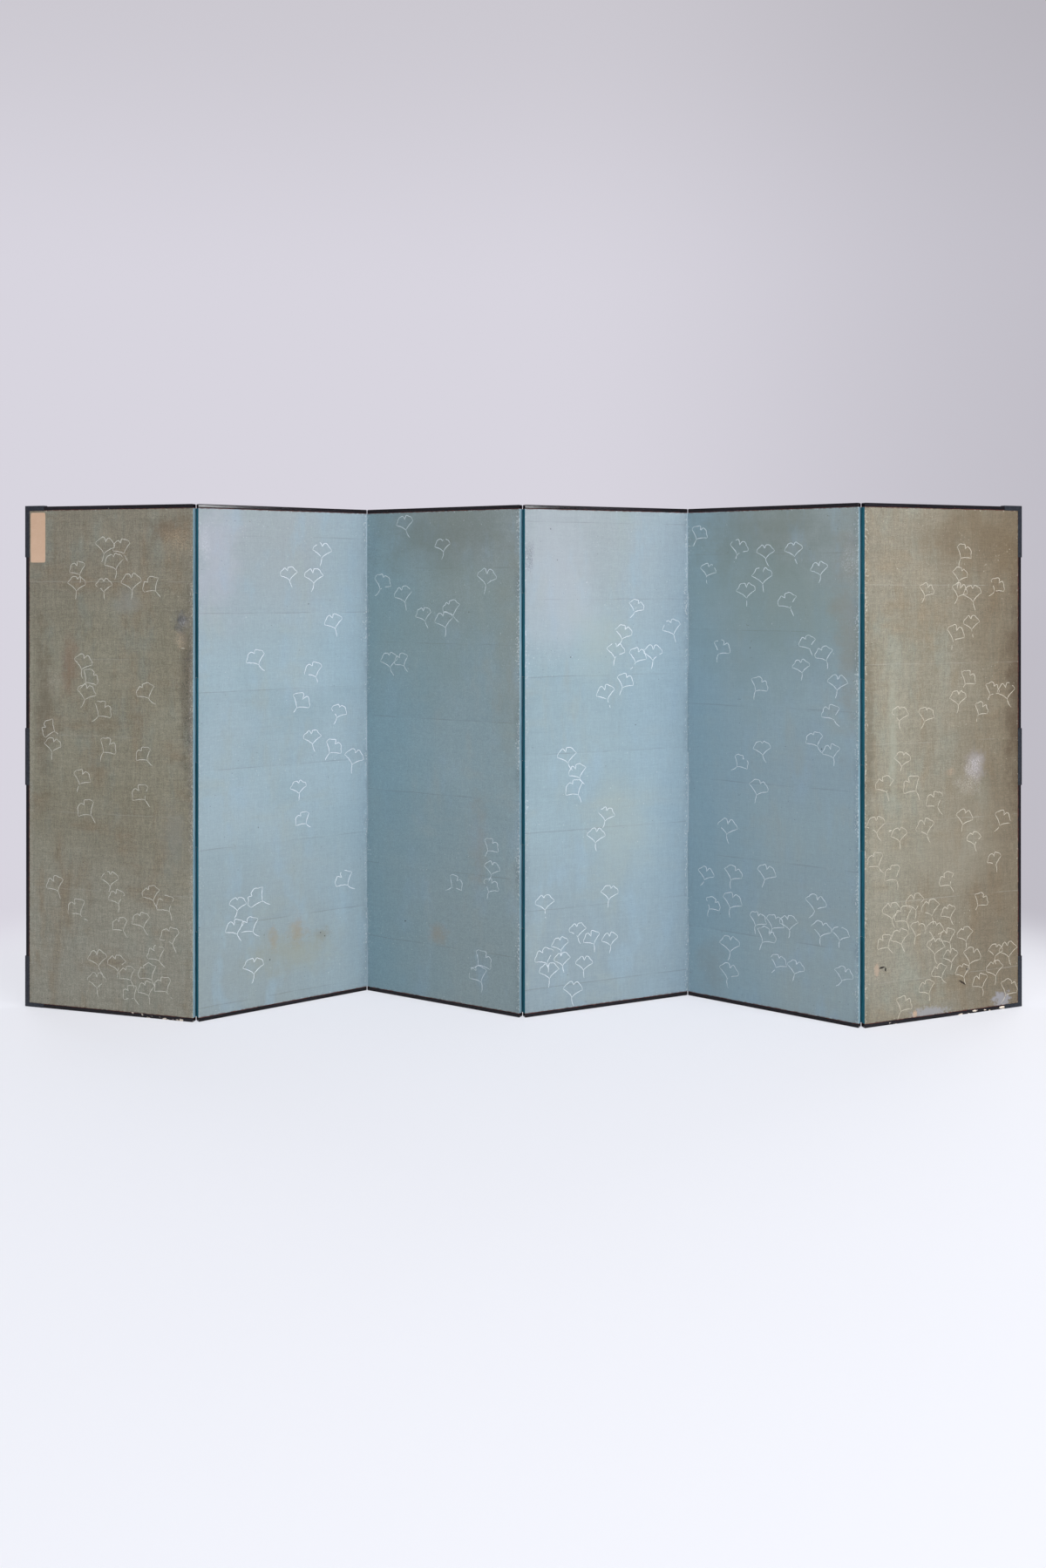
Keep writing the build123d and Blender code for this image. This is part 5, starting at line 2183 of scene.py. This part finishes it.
@dataclass
class Studio:
    """A pale floor that fades into a pale room, soft lamps and the camera."""

    camera_place: Point = (-0.0016, -4.658, 1.4448)
    focal_px: float = 1557.1
    horizon_px: float = 673.2
    frame_px: tuple[int, int] = (1200, 1799)
    sensor: float = 36.0
    floor_radius: float = 400.0
    floor_sides: int = 96
    floor_drop: float = 0.3 * MM
    fade: tuple[float, float] = (2.0, 3.4)
    pool: Point = (0.0, 1.0, 0.0)
    glow: float = 0.56
    floor: Colour = field(default_factory=lambda: ink(239, 240, 246))
    near: Colour = field(default_factory=lambda: ink(244, 245, 252))
    wall: Colour = field(default_factory=lambda: ink(216, 213, 223))
    above: Colour = field(default_factory=lambda: ink(203, 200, 208))
    right_wall_shade: float = 0.77
    room: Colour = (0.93, 0.94, 1.0)
    room_strength: float = 0.37

    def build(self) -> None:
        """Set the stage."""
        self._camera()
        self._floor()
        self._world()
        for lamp in LAMPS:
            lamp.hang()
        bpy.context.scene.view_settings.view_transform = "Standard"
        LOG.info("stage, lamps and camera")

    def _camera(self) -> None:
        """Stand the camera level in front of the screen."""
        data = bpy.data.cameras.new("camera")
        height = self.frame_px[1]
        data.sensor_width = self.sensor
        data.lens = self.focal_px * self.sensor / height
        data.shift_y = (self.horizon_px - height / 2) / height
        camera = shown("camera", data)
        camera.location = self.camera_place
        camera.rotation_euler = (math.radians(90), 0, 0)
        bpy.context.scene.camera = camera

    @staticmethod
    def _seen(r: Recipe) -> Socket:
        """Tell rays that look, mirror or pass through glass from light.

        Args:
            r: The tree.

        Returns:
            1 for them, 0 for light.
        """
        path = r.add("ShaderNodeLightPath").outputs
        looks = r.math("ADD", path["Is Camera Ray"], path["Is Glossy Ray"])
        return r.math("ADD", looks, path["Is Transmission Ray"], True)

    def _room(self, r: Recipe, way: Socket) -> Socket:
        """The room's colour as seen in a direction, with painted shade: a little darker above and to the
        right.

        Args:
            r: The tree.
            way: The direction.

        Returns:
            The colour.
        """
        across, _, up = r.split(way)
        colour = r.mix(r.window(up, 0.20, 0.42), self.wall, self.above)
        return r.mix(1.0, colour, r.window(across, 0.0, 0.42, 1.0, self.right_wall_shade), "MULTIPLY")

    def _floor(self) -> None:
        """Lay the floor, which takes the screen's shadow near it and fades to the room's colour."""
        shape = Shape()
        for j in range(self.floor_sides):
            turn = math.tau * j / self.floor_sides
            shape.points.append((self.floor_radius * math.cos(turn), self.floor_radius * math.sin(turn), 0.0))
        shape.faces.append(tuple(range(self.floor_sides)))
        r = Recipe("stage_floor")
        r.set(Base_Color=self.floor, Roughness=0.95, Specular_IOR_Level=0.0)
        place = r.solid_place()
        length = r.add("ShaderNodeVectorMath", operation="LENGTH")
        r.feed(length.inputs[0], r.stretch(place, (1, 1, 1), self.pool))
        way = r.add("ShaderNodeVectorMath", operation="NORMALIZE")
        r.feed(way.inputs[0], place)
        far = r.window(length.outputs["Value"], *self.fade)
        glow = r.add("ShaderNodeEmission")
        r.feed(glow.inputs["Color"], r.mix(far, self.near, self._room(r, way.outputs[0])))
        share = r.math("MULTIPLY", r.window(far, 0.0, 1.0, self.glow, 1.0), self._seen(r))
        self._mixed(r, share, r.shader.outputs[0], glow.outputs[0])
        shape.build("stage_floor", Matrix.Translation((0, 0, -self.floor_drop)), r.material)

    def _world(self) -> None:
        """Light the room evenly and show it as a pale wall."""
        world = bpy.data.worlds.new("room")
        world.use_nodes = True
        r = Recipe.within(world.node_tree)
        light, wall = r.add("ShaderNodeBackground"), r.add("ShaderNodeBackground")
        r.feed(light.inputs["Color"], self.room)
        r.feed(light.inputs["Strength"], self.room_strength)
        r.feed(wall.inputs["Color"], self._room(r, r.add("ShaderNodeTexCoord").outputs["Generated"]))
        self._mixed(r, self._seen(r), light.outputs[0], wall.outputs[0])
        bpy.context.scene.world = world

    @staticmethod
    def _mixed(r: Recipe, share: Number, a: Socket, b: Socket) -> None:
        """Send a mix of two shaders to the tree's output.

        Args:
            r: The tree.
            share: How much of the second one.
            a: The first shader.
            b: The second one.
        """
        mixed = r.add("ShaderNodeMixShader")
        for socket, value in zip(mixed.inputs, (share, a, b)):
            r.feed(socket, value)
        r.feed(r.output.inputs["Surface"], mixed.outputs[0])


def main() -> None:
    """Build the screen, panel by panel and fold by fold, and set the stage."""
    logging.basicConfig(level=logging.INFO, format="%(name)s: %(message)s")
    Studio().build()
    places = [PanelPlace.read(k) for k in range(1, PANELS + 1)]
    lacquer = BlackLacquer().dress("black_lacquer_worn")
    iron = BlackIron().dress("black_iron_smoked")
    cedar = CedarWood().dress("cedar")
    lining = LINING.dress("lining_layers")
    for place in places:
        PanelPapers(place).build()
        Rails(place).build(lacquer)
        dress(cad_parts[f"panel_{place.number}_core"], cedar)
        dress(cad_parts[f"panel_{place.number}_underlay"], lining)
    # The hinge paper's lit copy and shaded copy: painted light on the left panels' edges, painted shade on
    # the right panels' edges.
    pale, shaded_hinge = HINGE_PAINTED_LIT.dress("hinge_paper_painted_lit"), HINGE_PAINTED_SHADE.dress("hinge_paper_painted_shade")
    crease = {
        True: BACK_CREASE.dress("crease_backing", "sheet_place"),
        False: BLUE_CREASE.dress("crease_blue", "sheet_place"),
    }
    for number, (left, right) in enumerate(zip(places, places[1:])):
        Folds(number, left, right).build(pale, shaded_hinge, crease)
    Ironwork(places[0], "left").build(iron)
    Ironwork(places[-1], "right").build(iron)
    BlankSlip(places[0]).build()


if __name__ == "__main__":
    main()
